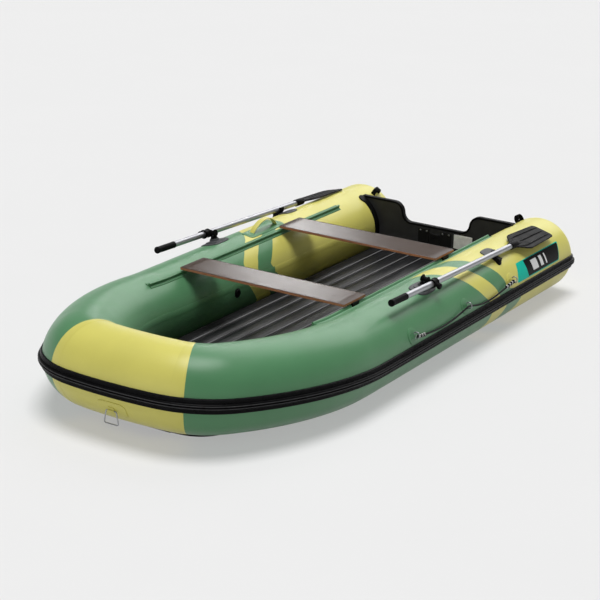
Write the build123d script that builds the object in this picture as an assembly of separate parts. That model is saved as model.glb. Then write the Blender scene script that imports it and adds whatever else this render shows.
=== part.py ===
"""Inflatable motor dinghy: five air tubes, air floor, transom, two thwarts, stowed oars and lifelines.

Millimetres and degrees. +X points to the bow, +Y to port, +Z up. The origin is on the ground, under the middle.
Pieces that come in pairs are drawn on the port side and mirrored in the XZ plane.
"""
import os
from collections import namedtuple
from math import cos, degrees, radians, sin, sqrt, tan

from build123d import *

# Hull
LENGTH = 3390
BEAM = 1600
TUBE_DIAMETER = 420
GLUE = 0.3
RUNNING_GAP = 0.3

# Bow curve, in a plane that rises toward the bow: three arcs from the side to the centre line
BOW_RISE = 3.56
BOW_RISE_RADIUS = 2000
BOW_SIDE_RADIUS = 1330
BOW_SIDE_TURN = 31.6
BOW_CORNER_RADIUS = 240
BOW_CORNER_TURN = 83.3
BOW_PANEL_TURN = 65
BOW_END_TURN = 90

# Stern: how far the tails reach past the station that places are measured from, their rounding, and where the
# aft tube meets the forward one, as a share of the straight side
TAIL_REACH = 70
TAIL_ROUNDING = 75
TUBE_SPLIT = 0.606

# Rub rail: ribbed strip with a ridge, wrapped a little round each tail
RAIL_HEIGHT = 74
RAIL_BASE = 9
RAIL_DEPTH = 20
RAIL_RIDGE = 30
RAIL_GROOVE = 4
RAIL_DROP = 3.3
RAIL_WRAP = 55

# Bottom and air floor
BOTTOM_CLEARANCE = 4
BOTTOM_TUCK = 50
NOSE_REACH = 45
NOSE_ROOT = 120
NOSE_WIDTH = 380
NOSE_TIP_WIDTH = 260
KEEL_STRIPS = 3
KEEL_SPACING = 230
KEEL_WIDTH = 40
KEEL_DEPTH = 3
KEEL_MARGIN = 60
FLOOR_BOTTOM = 62
FLOOR_TOP = 115
FLOOR_RIBS = 9
FLOOR_RIB_RISE = 12
FLOOR_RIB_ROOT = 3
FLOOR_SIDE_GAP = 3

# Transom, measured from the stern
TRANSOM_FRONT = 165
TRANSOM_THICKNESS = 27
NOTCH_HEIGHT = 290
NOTCH_HALF_WIDTH = 165
SHOULDER_HEIGHT = 400
SHOULDER_HALF_WIDTH = 285
PAD_WIDTH = 220
PAD_HEIGHT = 150
PAD_THICKNESS = 6
PAD_TOP_GAP = 14
PAD_CORNER = 10
FLANGE_LENGTH = 45
FLANGE_THICKNESS = 5
FLANGE_TOP_ANGLE = 30
FLANGE_BOTTOM_ANGLE = 112
PLATE_HEIGHT = 85
PLATE_THICKNESS = 1.5
PLATE_CORNER = 4
# Shares of the board between the pad and the tube
PLATE_WIDTH_SHARE = 0.453
PLATE_GAP_SHARE = 0.06
DRAIN_RADIUS = 20
DRAIN_Y = -140
DRAIN_Z = 160
DRAIN_DEPTH = 12

# Thwarts and the rails that carry them: places are shares of the straight side, from the stern
BENCH_PLACES = {"forward": 0.909, "aft": 0.4653}
BENCH_WIDTH = 215
BENCH_OVERHANG = 10
BENCH_THICKNESS = 12
BENCH_TOP = 435
BENCH_CORNER = 8
BENCH_RAIL_START = 465
BENCH_RAIL_END_TURN = 3.6
BENCH_RAIL_ANGLE = 27
BENCH_RAIL_WIDTH = 44
BENCH_RAIL_BASE = 3
BENCH_RAIL_LIP = 12
BENCH_RAIL_RISE = 15
CLIP_LENGTH = 60
CLIP_WIDTH = 36

# Oars: the collar's share of the straight side, and distances along the shaft from it, forward positive
COLLAR_PLACE = 0.709
POST_ANGLE = 15
OAR_OFFSET = 50
OAR_HEIGHT = 51
OAR_PITCH = 1.9
SHAFT_RADIUS = 16
SHAFT_BORE_GRIP = 120
GRIP_RADIUS = 18.5
GRIP_FROM = 296
GRIP_TO = 447
BLADE_FROM = -905
BLADE_TO = -1345
BLADE_WIDTH = 165
BLADE_TIP_WIDTH = 140
BLADE_THICKNESS = 8
BLADE_NECK_RADIUS = 20
BLADE_NECK_LENGTH = 70
BLADE_CORNER = 26
BLADE_RIBS = 3
BLADE_RIB_SPACING = 44
BLADE_RIB_WIDTH = 8
BLADE_RIB_RISE = 4
BLADE_RIB_MARGIN = 34

# Oarlocks
LOCK_PAD_LENGTH = 185
LOCK_PAD_WIDTH = 104
LOCK_PAD_THICKNESS = 6
LOCK_BOSS_RADIUS = 26
LOCK_BOSS_TOP = 20
POST_RADIUS = 8
POST_HEADROOM = 2
SWIVEL_RADIUS = 22
SWIVEL_HEAD_RADIUS = 19
SWIVEL_HEAD_WIDTH = 40
PIN_RADIUS = 6
COLLAR_RADIUS = 25
COLLAR_LENGTH = 46
KNOB_RADIUS = 17
KNOB_LENGTH = 22

# Oar cradles
CRADLE_PLACE = -731
CRADLE_LENGTH = 40
CRADLE_INBOARD = 34
CRADLE_OUTBOARD = 42
CRADLE_CHEEK = 8
CRADLE_PAD_LENGTH = 120
CRADLE_PAD_WIDTH = 90
CRADLE_PAD_SHIFT = -20
CRADLE_PAD_ANGLE = 17

# Lifelines: rings on round patches, and a cord held by them; places are shares of the straight side
RING_PLACES = (0.8728, 0.6089, 0.3581)
RING_ANGLE = 70
RING_RADIUS = 17
RING_WIRE = 3
PATCH_RADIUS = 42
PATCH_THICKNESS = 3
PATCH_CUT_REACH = 150
LOOP_LENGTH = 26
LOOP_WIDTH = 16
CORD_RADIUS = 5
KNOT_RADIUS = 10
KNOT_GAP = 0.7
# Columns: share of the straight side, angle outboard from the tube's top, height of the cord's middle over it
CORD_ROUTE = (
    (0.8276, 75.0, 17),
    (0.7926, 77.5, 11),
    (0.7469, 79.0, 9),
    (0.6956, 78.2, 9),
    (0.6490, 75.0, 13),
    (0.6089, 70.0, 27),
    (0.5688, 75.5, 13),
    (0.5222, 79.5, 9),
    (0.4746, 79.5, 9),
    (0.4336, 77.0, 11),
    (0.4033, 74.5, 16),
)

# Bow ring, carry handle, stern handles and valves; shares of the straight side
BOW_RING_ANGLE = -33
BOW_RING_BAR = 58
BOW_RING_WIDTH = 84
BOW_RING_DROP = 66
BOW_RING_WIRE = 3
BOW_LOOP_WALL = 3
BOW_LOOP_WIDTH = 36
BOW_PATCH_WIDTH = 150
BOW_PATCH_HEIGHT = 90
HANDLE_FROM = 0.4844
HANDLE_TO = 0.5986
HANDLE_ANGLE = -7
HANDLE_HEIGHT = 64
HANDLE_STRAP = 6
HANDLE_WIDTH = 30
HANDLE_PATCH_MARGIN = 50
HANDLE_PATCH_CORNER = 25
STERN_HANDLE_PLACE = 44
STERN_HANDLE_LENGTH = 58
STERN_HANDLE_HEIGHT = 42
STERN_HANDLE_ANGLE = -30
VALVE_PLACE = 0.7856
VALVE_ANGLE = -88
VALVE_RADIUS = 26
VALVE_HEIGHT = 8

# Worked-out places
TUBE_R = TUBE_DIAMETER / 2
TUBE_Y = BEAM / 2 - TUBE_R
TAIL_END_X = -LENGTH / 2
STERN_X = TAIL_END_X + TAIL_REACH
BOW_CENTRE_X = LENGTH / 2 - RAIL_DEPTH - GLUE - TUBE_R
TAIL_X = TAIL_END_X + TAIL_ROUNDING
RISE = radians(BOW_RISE)
FORWARD = Vector(cos(RISE), 0, sin(RISE))
INBOARD = Vector(0, -1, 0)
BOW_NORMAL = Vector(-sin(RISE), 0, cos(RISE))
BOW_FRONT_RADIUS = (
    TUBE_Y
    - BOW_SIDE_RADIUS * (1 - cos(radians(BOW_SIDE_TURN)))
    - BOW_CORNER_RADIUS * (cos(radians(BOW_SIDE_TURN)) - cos(radians(BOW_CORNER_TURN)))
) / cos(radians(BOW_CORNER_TURN))
# Columns: radius, turn at its start, turn at its end
BOW_ARCS = (
    (BOW_SIDE_RADIUS, 0, BOW_SIDE_TURN),
    (BOW_CORNER_RADIUS, BOW_SIDE_TURN, BOW_CORNER_TURN),
    (BOW_FRONT_RADIUS, BOW_CORNER_TURN, BOW_END_TURN),
)
BOW_REACH = sum(r * (sin(radians(end)) - sin(radians(start))) for r, start, end in BOW_ARCS)
BEND_X = BOW_CENTRE_X - BOW_REACH * cos(RISE) - BOW_RISE_RADIUS * sin(RISE)
BOW_START = Vector(
    BEND_X + BOW_RISE_RADIUS * sin(RISE), TUBE_Y, TUBE_R + BOW_RISE_RADIUS * (1 - cos(RISE))
)

SIDE = BEND_X - STERN_X
SPLIT_X = STERN_X + SIDE * TUBE_SPLIT

Run = namedtuple("Run", "plane axis amount")


def straight_run(start, end):
    """Run of the port tube's straight part, between two places along X."""
    return Run(Plane((start, TUBE_Y, TUBE_R), x_dir=(0, 1, 0), z_dir=(1, 0, 0)), None, end - start)


def rise_run():
    """Run where the port tube bends up toward the bow."""
    axis = Axis((BEND_X, TUBE_Y, TUBE_R + BOW_RISE_RADIUS), (0, -1, 0))
    return Run(straight_run(BEND_X, BEND_X).plane, axis, BOW_RISE)


def bow_state(turn):
    """Point on the bow curve where it has turned inboard by an angle, with its outboard and forward directions."""
    point = BOW_START
    for radius, start, end in BOW_ARCS:
        low = radians(start)
        high = radians(min(turn, end))
        if turn > start:
            point += FORWARD * (radius * (sin(high) - sin(low))) + INBOARD * (radius * (cos(low) - cos(high)))
    angle = radians(turn)
    outboard = FORWARD * sin(angle) - INBOARD * cos(angle)
    tangent = FORWARD * cos(angle) + INBOARD * sin(angle)
    return point, outboard, tangent


def bow_run(start, end):
    """Run of one bow arc, from one turn to another."""
    radius = next(r for r, low, high in BOW_ARCS if low <= start and end <= high)
    point, outboard, tangent = bow_state(start)
    plane = Plane(point, x_dir=outboard, z_dir=tangent)
    return Run(plane, Axis(point - outboard * radius, -BOW_NORMAL), end - start)


def follow(section, runs):
    """Carry a section, drawn outboard along X and up along Y, along a chain of runs."""
    solid = None
    for run in runs:
        face = run.plane * section
        piece = extrude(face, run.amount) if run.axis is None else revolve(face, run.axis, run.amount)
        solid = piece if solid is None else solid + piece
    return solid


def across_bow(section):
    """Carry a section round the bow panel: its front arc in one piece, with a corner at each side."""
    front = BOW_FRONT_RUN._replace(amount=2 * BOW_FRONT_RUN.amount)
    corner = follow(section, [BOW_CORNER_RUN])
    return follow(section, [front]) + corner + starboard(corner)


def starboard(shape):
    """Mirror image of a port piece."""
    return mirror(shape, about=Plane.XZ)


def both_sides(shape):
    """A piece on the centre line from its port half."""
    return shape + starboard(shape)


def on_tube(place, angle, height=0):
    """Plane on the port tube: Z out of it, X forward; angle is outboard from its top, place is from the stern."""
    out = Vector(0, sin(radians(angle)), cos(radians(angle)))
    origin = Vector(STERN_X + place, TUBE_Y, TUBE_R) + out * (TUBE_R + height)
    return Plane(origin, x_dir=(1, 0, 0), z_dir=out)


def tube_shell(start, end, inner, outer):
    """Round shell about the port tube between two distances from the stern, by height over the tube."""
    ring = Circle(TUBE_R + outer) - Circle(TUBE_R + inner)
    return extrude(straight_run(STERN_X + start, 0).plane * ring, end - start)


def tube_core(start, end, height=GLUE):
    """Straight stretch of the port tube, larger by a height, to cut pieces that seat on it."""
    return extrude(straight_run(STERN_X + start, 0).plane * Circle(TUBE_R + height), end - start)


def pad_on_tube(outline, place, angle, thickness, margin=PATCH_CUT_REACH):
    """Sheet bonded to the tube: an outline pressed through a shell of the tube."""
    prism = extrude(on_tube(place, angle, -TUBE_R / 2) * outline, TUBE_R)
    return prism & tube_shell(place - margin, place + margin, GLUE, GLUE + thickness)


def sector(inner, outer, middle, half_angle):
    """Part of a ring about the tube's middle: angles from outboard, up positive."""
    reach = 2 * outer
    wedge = Polyline(
        (0, 0),
        (reach * cos(radians(middle - half_angle)), reach * sin(radians(middle - half_angle))),
        (reach * cos(radians(middle + half_angle)), reach * sin(radians(middle + half_angle))),
        close=True,
    )
    return (Circle(outer) - Circle(inner)) & make_face(wedge)


# Runs of the port half, from the stern to the bow's centre line
AFT_RUN = straight_run(TAIL_X, SPLIT_X)
FORWARD_RUNS = [
    straight_run(SPLIT_X, BEND_X),
    rise_run(),
    bow_run(0, BOW_SIDE_TURN),
    bow_run(BOW_SIDE_TURN, BOW_PANEL_TURN),
]
BOW_CORNER_RUN = bow_run(BOW_PANEL_TURN, BOW_CORNER_TURN)
BOW_FRONT_RUN = bow_run(BOW_CORNER_TURN, BOW_END_TURN)
BOW_RUNS = [BOW_CORNER_RUN, BOW_FRONT_RUN]

parts = {}


def add_pair(name, shape):
    """Keep a port piece and its mirror image."""
    parts["port_" + name] = shape
    parts["starboard_" + name] = starboard(shape)


# Air tubes
tube_circle = Circle(TUBE_R)
aft_tube = extrude(straight_run(TAIL_END_X, 0).plane * tube_circle, SPLIT_X - TAIL_END_X)
aft_tube = fillet(aft_tube.edges().group_by(Axis.X)[0], TAIL_ROUNDING)
forward_tube = follow(tube_circle, FORWARD_RUNS)
parts["bow_tube"] = across_bow(tube_circle)
add_pair("forward_tube", forward_tube)
add_pair("aft_tube", aft_tube)

# Rub rail
rail_half_angle = degrees(RAIL_HEIGHT / 2 / TUBE_R)
rail_strip = sector(TUBE_R + GLUE, TUBE_R + GLUE + RAIL_BASE, -RAIL_DROP, rail_half_angle)
rail_ridge = Rectangle(RAIL_DEPTH - RAIL_BASE / 2, RAIL_RIDGE, align=(Align.MIN, Align.CENTER))
rail_ridge = fillet(rail_ridge.vertices().group_by(Axis.X)[-1], RAIL_RIDGE / 4)
rail_ridge = rail_ridge - Pos(RAIL_DEPTH - RAIL_BASE / 2, 0) * Circle(RAIL_GROOVE)
rail_section = rail_strip + Rot(Z=-RAIL_DROP) * Pos(TUBE_R + GLUE + RAIL_BASE / 2, 0) * rail_ridge
tail_axis = Axis((TAIL_X, TUBE_Y + TUBE_R - TAIL_ROUNDING, 0), (0, 0, 1))
rail_tail = revolve(straight_run(TAIL_X, 0).plane * rail_section, tail_axis, RAIL_WRAP)
aft_rail = follow(rail_section, [AFT_RUN]) + (rail_tail - aft_tube)
parts["bow_rub_rail"] = across_bow(rail_section)
add_pair("forward_rub_rail", follow(rail_section, FORWARD_RUNS))
add_pair("aft_rub_rail", aft_rail)


def plan(inset):
    """Plan of the boat's inside, from the transom to the bow: the tubes' middle line moved inboard."""
    stern = STERN_X + TRANSOM_FRONT
    side = TUBE_Y - inset
    port = [Line((stern, side), (bow_state(0)[0].X, side))]
    for _, low, high in BOW_ARCS:
        ends = []
        for turn in (low, (low + high) / 2, high):
            point, outboard, _ = bow_state(turn)
            inner = point - outboard * inset
            ends.append((inner.X, inner.Y))
        port.append(ThreePointArc(*ends))
    start, _, centre = ends
    port[-1] = ThreePointArc(start, centre, (start[0], -start[1]))
    return make_face([Line((stern, -side), (stern, side)), *port, *(starboard(line) for line in port[:-1])])


# Bottom with keel strips, cut to the tubes; its nose rises to the bow tube
core_circle = Circle(TUBE_R + GLUE)
side_core = tube_core(0, SPLIT_X - STERN_X) + follow(core_circle, FORWARD_RUNS)
bottom = extrude(Pos(0, 0, BOTTOM_CLEARANCE) * plan(BOTTOM_TUCK), FLOOR_BOTTOM - BOTTOM_CLEARANCE)
nose_foot = BOW_CENTRE_X - BOTTOM_TUCK
nose_root = nose_foot - NOSE_ROOT
nose_tip = BOW_CENTRE_X + NOSE_REACH
nose_side = Polyline(
    (nose_root, BOTTOM_CLEARANCE),
    (nose_foot, BOTTOM_CLEARANCE),
    (nose_tip, FLOOR_BOTTOM),
    (nose_root, FLOOR_BOTTOM),
    close=True,
)
nose_plan = Polyline(
    (nose_root, -NOSE_WIDTH / 2),
    (nose_tip, -NOSE_TIP_WIDTH / 2),
    (nose_tip, NOSE_TIP_WIDTH / 2),
    (nose_root, NOSE_WIDTH / 2),
    close=True,
)
nose = extrude(Plane.XZ * make_face(nose_side), NOSE_WIDTH, both=True)
nose = nose & extrude(make_face(nose_plan), 2 * FLOOR_BOTTOM)
keel_from = STERN_X + TRANSOM_FRONT + KEEL_MARGIN
keel_to = BOW_START.X
keel_outline = Pos((keel_from + keel_to) / 2, 0) * RectangleRounded(keel_to - keel_from, KEEL_WIDTH, KEEL_WIDTH / 3)
bottom = bottom + nose
for index in range(KEEL_STRIPS):
    keel_y = (index - (KEEL_STRIPS - 1) / 2) * KEEL_SPACING
    bottom = bottom + extrude(Pos(0, keel_y, BOTTOM_CLEARANCE - KEEL_DEPTH) * keel_outline, 2 * KEEL_DEPTH)
parts["hull_bottom"] = bottom - side_core - starboard(side_core) - across_bow(core_circle)

# Air floor: a slab with round ribs, clear of the tubes at its top
floor_half_width = TUBE_Y - sqrt(TUBE_R**2 - (TUBE_R - FLOOR_TOP) ** 2) - FLOOR_SIDE_GAP
rib_width = 2 * floor_half_width / FLOOR_RIBS
rib_radius = (rib_width**2 / 4 + FLOOR_RIB_RISE**2) / 2 / FLOOR_RIB_RISE
slab_top = FLOOR_TOP - FLOOR_RIB_RISE - FLOOR_RIB_ROOT
floor_plan = plan(TUBE_Y - floor_half_width)
rib_section = Rectangle(2 * floor_half_width, slab_top - FLOOR_BOTTOM, align=(Align.CENTER, Align.MIN))
rib_section = Pos(0, FLOOR_BOTTOM) * rib_section
for index in range(FLOOR_RIBS):
    middle = (index - (FLOOR_RIBS - 1) / 2) * rib_width
    cap = Pos(middle, FLOOR_TOP - rib_radius) * Circle(rib_radius)
    reach = Pos(middle, slab_top - FLOOR_RIB_ROOT) * Rectangle(rib_width, FLOOR_TOP, align=(Align.CENTER, Align.MIN))
    rib_section = rib_section + (cap & reach)
rib_plane = Plane((STERN_X, 0, 0), x_dir=(0, 1, 0), z_dir=(1, 0, 0))
parts["air_floor"] = extrude(rib_plane * rib_section, LENGTH) & extrude(floor_plan, 2 * FLOOR_TOP)

# Transom with its notch for the motor
transom_x = STERN_X + TRANSOM_FRONT
rise_step = (SHOULDER_HEIGHT - NOTCH_HEIGHT) / 2
slope_middle = (NOTCH_HALF_WIDTH + SHOULDER_HALF_WIDTH) / 2
outline = [
    Line((0, FLOOR_BOTTOM), (0, NOTCH_HEIGHT)),
    Line((0, NOTCH_HEIGHT), (NOTCH_HALF_WIDTH, NOTCH_HEIGHT)),
    TangentArc((NOTCH_HALF_WIDTH, NOTCH_HEIGHT), (slope_middle, NOTCH_HEIGHT + rise_step), tangent=(1, 0)),
    TangentArc((SHOULDER_HALF_WIDTH, SHOULDER_HEIGHT), (slope_middle, NOTCH_HEIGHT + rise_step), tangent=(-1, 0)),
    Line((SHOULDER_HALF_WIDTH, SHOULDER_HEIGHT), (TUBE_Y, SHOULDER_HEIGHT)),
    Line((TUBE_Y, SHOULDER_HEIGHT), (TUBE_Y, FLOOR_BOTTOM)),
    Line((TUBE_Y, FLOOR_BOTTOM), (0, FLOOR_BOTTOM)),
]
transom_plane = Plane((transom_x, 0, 0), x_dir=(0, 1, 0), z_dir=(1, 0, 0))
board_half = extrude(transom_plane * make_face(outline), -TRANSOM_THICKNESS) - tube_core(0, SPLIT_X - STERN_X)
parts["transom_board"] = both_sides(board_half)
pad_sketch = Pos(0, NOTCH_HEIGHT - PAD_TOP_GAP - PAD_HEIGHT / 2) * RectangleRounded(PAD_WIDTH, PAD_HEIGHT, PAD_CORNER)
parts["inner_motor_pad"] = extrude(transom_plane * pad_sketch, PAD_THICKNESS)
parts["outer_motor_pad"] = extrude(transom_plane.offset(-TRANSOM_THICKNESS) * pad_sketch, -PAD_THICKNESS)
flange_sketch = sector(
    TUBE_R + GLUE,
    TUBE_R + GLUE + FLANGE_THICKNESS,
    90 + (FLANGE_TOP_ANGLE + FLANGE_BOTTOM_ANGLE) / 2,
    (FLANGE_BOTTOM_ANGLE - FLANGE_TOP_ANGLE) / 2,
)
flange = extrude(straight_run(transom_x, 0).plane * flange_sketch, FLANGE_LENGTH)
parts["transom_flanges"] = flange + starboard(flange)
plate_space = TUBE_Y - TUBE_R - FLANGE_THICKNESS - PAD_WIDTH / 2
plate_width = plate_space * PLATE_WIDTH_SHARE
plate_y = PAD_WIDTH / 2 + plate_space * PLATE_GAP_SHARE + plate_width / 2
plate_z = NOTCH_HEIGHT - PAD_TOP_GAP - PLATE_HEIGHT / 2
plate_sketch = Pos(plate_y, plate_z) * RectangleRounded(plate_width, PLATE_HEIGHT, PLATE_CORNER)
parts["capacity_plate"] = extrude(transom_plane * plate_sketch, PLATE_THICKNESS)
parts["drain_plug"] = extrude(transom_plane * Pos(DRAIN_Y, DRAIN_Z) * Circle(DRAIN_RADIUS), DRAIN_DEPTH)

# Thwart rails: a bonded strip with a lip
strip_half_angle = degrees(BENCH_RAIL_WIDTH / 2 / TUBE_R)
strip = sector(TUBE_R + GLUE, TUBE_R + GLUE + BENCH_RAIL_BASE, 90 + BENCH_RAIL_ANGLE, strip_half_angle)
lip = Rectangle(BENCH_RAIL_RISE, BENCH_RAIL_LIP, align=(Align.MIN, Align.CENTER))
bench_rail_section = strip + Rot(Z=90 + BENCH_RAIL_ANGLE) * Pos(TUBE_R + BENCH_RAIL_BASE, 0) * lip
bench_rail_runs = [
    straight_run(STERN_X + BENCH_RAIL_START, BEND_X),
    rise_run(),
    bow_run(0, BENCH_RAIL_END_TURN),
]
add_pair("bench_rail", follow(bench_rail_section, bench_rail_runs))

# Thwarts on clips that grip the lips
lip_out = TUBE_R + BENCH_RAIL_BASE + BENCH_RAIL_RISE
lip_y = TUBE_Y - lip_out * sin(radians(BENCH_RAIL_ANGLE))
bench_bottom = BENCH_TOP - BENCH_THICKNESS
clip_low = TUBE_R + (TUBE_R + BENCH_RAIL_BASE + GLUE * 2) * cos(radians(BENCH_RAIL_ANGLE))
rail_cut = follow(offset(bench_rail_section, GLUE), [straight_run(STERN_X + BENCH_RAIL_START, BEND_X)])
bench_length = 2 * (lip_y + BENCH_OVERHANG)
for place, share in BENCH_PLACES.items():
    bench_x = STERN_X + SIDE * share
    bench = Pos(bench_x, 0, bench_bottom) * extrude(
        RectangleRounded(BENCH_WIDTH, bench_length, BENCH_CORNER), BENCH_THICKNESS
    )
    parts[place + "_bench"] = bench
    clip = Pos(bench_x, lip_y, clip_low) * Box(
        CLIP_LENGTH, CLIP_WIDTH, bench_bottom - clip_low, align=(Align.CENTER, Align.CENTER, Align.MIN)
    )
    clip = clip - rail_cut - tube_core(0, LENGTH)
    parts[place + "_bench_clips"] = clip + starboard(clip)

# Oarlock base: pad on the tube, boss and post
collar_place = SIDE * COLLAR_PLACE
lock_plane = on_tube(collar_place, POST_ANGLE)
lock_outline = RectangleRounded(LOCK_PAD_LENGTH, LOCK_PAD_WIDTH, LOCK_PAD_WIDTH / 3)
lock_pad = pad_on_tube(lock_outline, collar_place, POST_ANGLE, LOCK_PAD_THICKNESS)
boss = extrude(lock_plane * Circle(LOCK_BOSS_RADIUS), LOCK_BOSS_TOP) - tube_core(0, LENGTH, GLUE)
post_length = OAR_HEIGHT - PIN_RADIUS - POST_HEADROOM - LOCK_BOSS_TOP
post = extrude(lock_plane.offset(LOCK_BOSS_TOP) * Circle(POST_RADIUS), post_length)
add_pair("oarlock_base", lock_pad + boss + post)

# Oarlock swivel: turret on the post with a cross head for the collar's pin
oar_origin = lock_plane.origin + lock_plane.z_dir * OAR_HEIGHT + lock_plane.y_dir * OAR_OFFSET
turret = extrude(
    lock_plane.offset(LOCK_BOSS_TOP + RUNNING_GAP) * Circle(SWIVEL_RADIUS), OAR_HEIGHT - LOCK_BOSS_TOP
)
head_plane = Plane(
    lock_plane.origin + lock_plane.z_dir * OAR_HEIGHT - lock_plane.y_dir * (SWIVEL_HEAD_WIDTH / 2),
    x_dir=lock_plane.x_dir,
    z_dir=lock_plane.y_dir,
)
head = extrude(head_plane * Circle(SWIVEL_HEAD_RADIUS), SWIVEL_HEAD_WIDTH)
post_bore = extrude(
    lock_plane.offset(LOCK_BOSS_TOP) * Circle(POST_RADIUS + RUNNING_GAP), post_length + RUNNING_GAP
)
pin_bore = extrude(head_plane.offset(-SWIVEL_HEAD_WIDTH) * Circle(PIN_RADIUS + RUNNING_GAP), 3 * SWIVEL_HEAD_WIDTH)
add_pair("oarlock_swivel", turret + head - post_bore - pin_bore)

# Oar frame: X outboard, Y up from the tube, Z forward along the shaft
pitch = radians(OAR_PITCH)
oar_forward = lock_plane.x_dir * cos(pitch) + lock_plane.z_dir * sin(pitch)
oar_plane = Plane(oar_origin, x_dir=lock_plane.y_dir, z_dir=oar_forward)


def along_oar(sketch, start, end):
    """Solid of one section along the oar."""
    return extrude(oar_plane.offset(start) * sketch, end - start)


# Collar with its pin and knob
collar = along_oar(Circle(COLLAR_RADIUS), -COLLAR_LENGTH / 2, COLLAR_LENGTH / 2)
pin = extrude(head_plane.offset(-GLUE) * Circle(PIN_RADIUS), SWIVEL_HEAD_WIDTH / 2 + OAR_OFFSET)
knob_plane = head_plane.offset(SWIVEL_HEAD_WIDTH / 2 + OAR_OFFSET)
knob = extrude(knob_plane * Circle(KNOB_RADIUS), COLLAR_RADIUS + KNOB_LENGTH)
shaft_bore = along_oar(Circle(SHAFT_RADIUS + RUNNING_GAP), -LENGTH, LENGTH)
add_pair("oar_collar", collar + pin + knob - shaft_bore)

# Shaft, grip and blade
shaft_end = GRIP_FROM + SHAFT_BORE_GRIP
shaft_start = BLADE_FROM - BLADE_NECK_LENGTH
add_pair("oar_shaft", along_oar(Circle(SHAFT_RADIUS), shaft_start, shaft_end))
grip = along_oar(Circle(GRIP_RADIUS), GRIP_FROM, GRIP_TO)
grip = fillet(grip.edges().filter_by(GeomType.CIRCLE), GRIP_RADIUS / 4)
add_pair("oar_grip", grip - along_oar(Circle(SHAFT_RADIUS + GLUE), GRIP_FROM, shaft_end + GLUE))
blade_plane = Plane(oar_plane.origin, x_dir=oar_plane.x_dir, z_dir=oar_plane.y_dir)
blade_root = -BLADE_FROM + BLADE_NECK_LENGTH / 2
blade_shoulder = blade_root + BLADE_WIDTH / 2
blade_outline = make_face(
    Polyline(
        (-BLADE_NECK_RADIUS, blade_root),
        (-BLADE_WIDTH / 2, blade_shoulder),
        (-BLADE_TIP_WIDTH / 2, -BLADE_TO),
        (BLADE_TIP_WIDTH / 2, -BLADE_TO),
        (BLADE_WIDTH / 2, blade_shoulder),
        (BLADE_NECK_RADIUS, blade_root),
        close=True,
    )
)
blade_outline = fillet(blade_outline.vertices().sort_by(Axis.Y)[2:], BLADE_CORNER)
blade = extrude(blade_plane.offset(-BLADE_THICKNESS / 2) * blade_outline, BLADE_THICKNESS)
rib_run = -BLADE_TO - BLADE_RIB_MARGIN - blade_shoulder
rib_outline = Pos(0, blade_shoulder + rib_run / 2) * RectangleRounded(BLADE_RIB_WIDTH, rib_run, BLADE_RIB_WIDTH / 3)
for index in range(BLADE_RIBS):
    rib_x = (index - (BLADE_RIBS - 1) / 2) * BLADE_RIB_SPACING
    blade = blade + extrude(blade_plane * Pos(rib_x, 0) * rib_outline, BLADE_THICKNESS / 2 + BLADE_RIB_RISE)
neck = along_oar(Circle(BLADE_NECK_RADIUS), BLADE_FROM, BLADE_FROM - BLADE_NECK_LENGTH - GLUE)
socket = along_oar(Circle(SHAFT_RADIUS + GLUE), BLADE_FROM, shaft_start - GLUE)
add_pair("oar_blade", blade + neck - socket)

# Cradle: seat under the shaft, open at the top and outboard
cradle_pad_outline = RectangleRounded(CRADLE_PAD_LENGTH, CRADLE_PAD_WIDTH, CRADLE_PAD_WIDTH / 3)
cradle_middle = collar_place + CRADLE_PLACE
cradle_pad = pad_on_tube(
    cradle_pad_outline, cradle_middle + CRADLE_PAD_SHIFT, CRADLE_PAD_ANGLE, LOCK_PAD_THICKNESS
)
seat_bottom = -SHAFT_RADIUS - RUNNING_GAP
seat = make_face(
    Polyline(
        (-CRADLE_INBOARD, -TUBE_R),
        (-CRADLE_INBOARD, CRADLE_CHEEK),
        (0, CRADLE_CHEEK),
        (0, seat_bottom),
        (CRADLE_OUTBOARD, seat_bottom),
        (CRADLE_OUTBOARD, -TUBE_R),
        close=True,
    )
)
slot_width = 2 * (SHAFT_RADIUS + RUNNING_GAP)
slot = Circle(slot_width / 2) + Rectangle(slot_width, 2 * CRADLE_CHEEK, align=(Align.CENTER, Align.MIN))
seat = seat - slot
block = along_oar(seat, CRADLE_PLACE - CRADLE_LENGTH / 2, CRADLE_PLACE + CRADLE_LENGTH / 2)
add_pair("oar_cradle", (block - tube_core(0, LENGTH)) + cradle_pad)

# Lifeline rings: each stands on a round patch, held by a loop
ring_height = GLUE + PATCH_THICKNESS + RING_WIRE + RUNNING_GAP + RING_RADIUS
patches = None
rings = None
for share in RING_PLACES:
    place = SIDE * share
    base = on_tube(place, RING_ANGLE)
    ring_plane = Plane(on_tube(place, RING_ANGLE, ring_height).origin, x_dir=base.y_dir, z_dir=(1, 0, 0))
    ring = ring_plane * Torus(RING_RADIUS, RING_WIRE)
    loop_cut = ring_plane * Torus(RING_RADIUS, RING_WIRE + RUNNING_GAP)
    loop = extrude(base * Rectangle(LOOP_WIDTH, LOOP_LENGTH), ring_height - RING_RADIUS + RING_WIRE + 2)
    patch = pad_on_tube(Circle(PATCH_RADIUS), place, RING_ANGLE, PATCH_THICKNESS)
    patch = patch + (loop - tube_core(0, LENGTH)) - loop_cut
    patches = patch if patches is None else patches + patch
    rings = ring if rings is None else rings + ring
add_pair("ring_patches", patches)
add_pair("lifeline_rings", rings)

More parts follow.
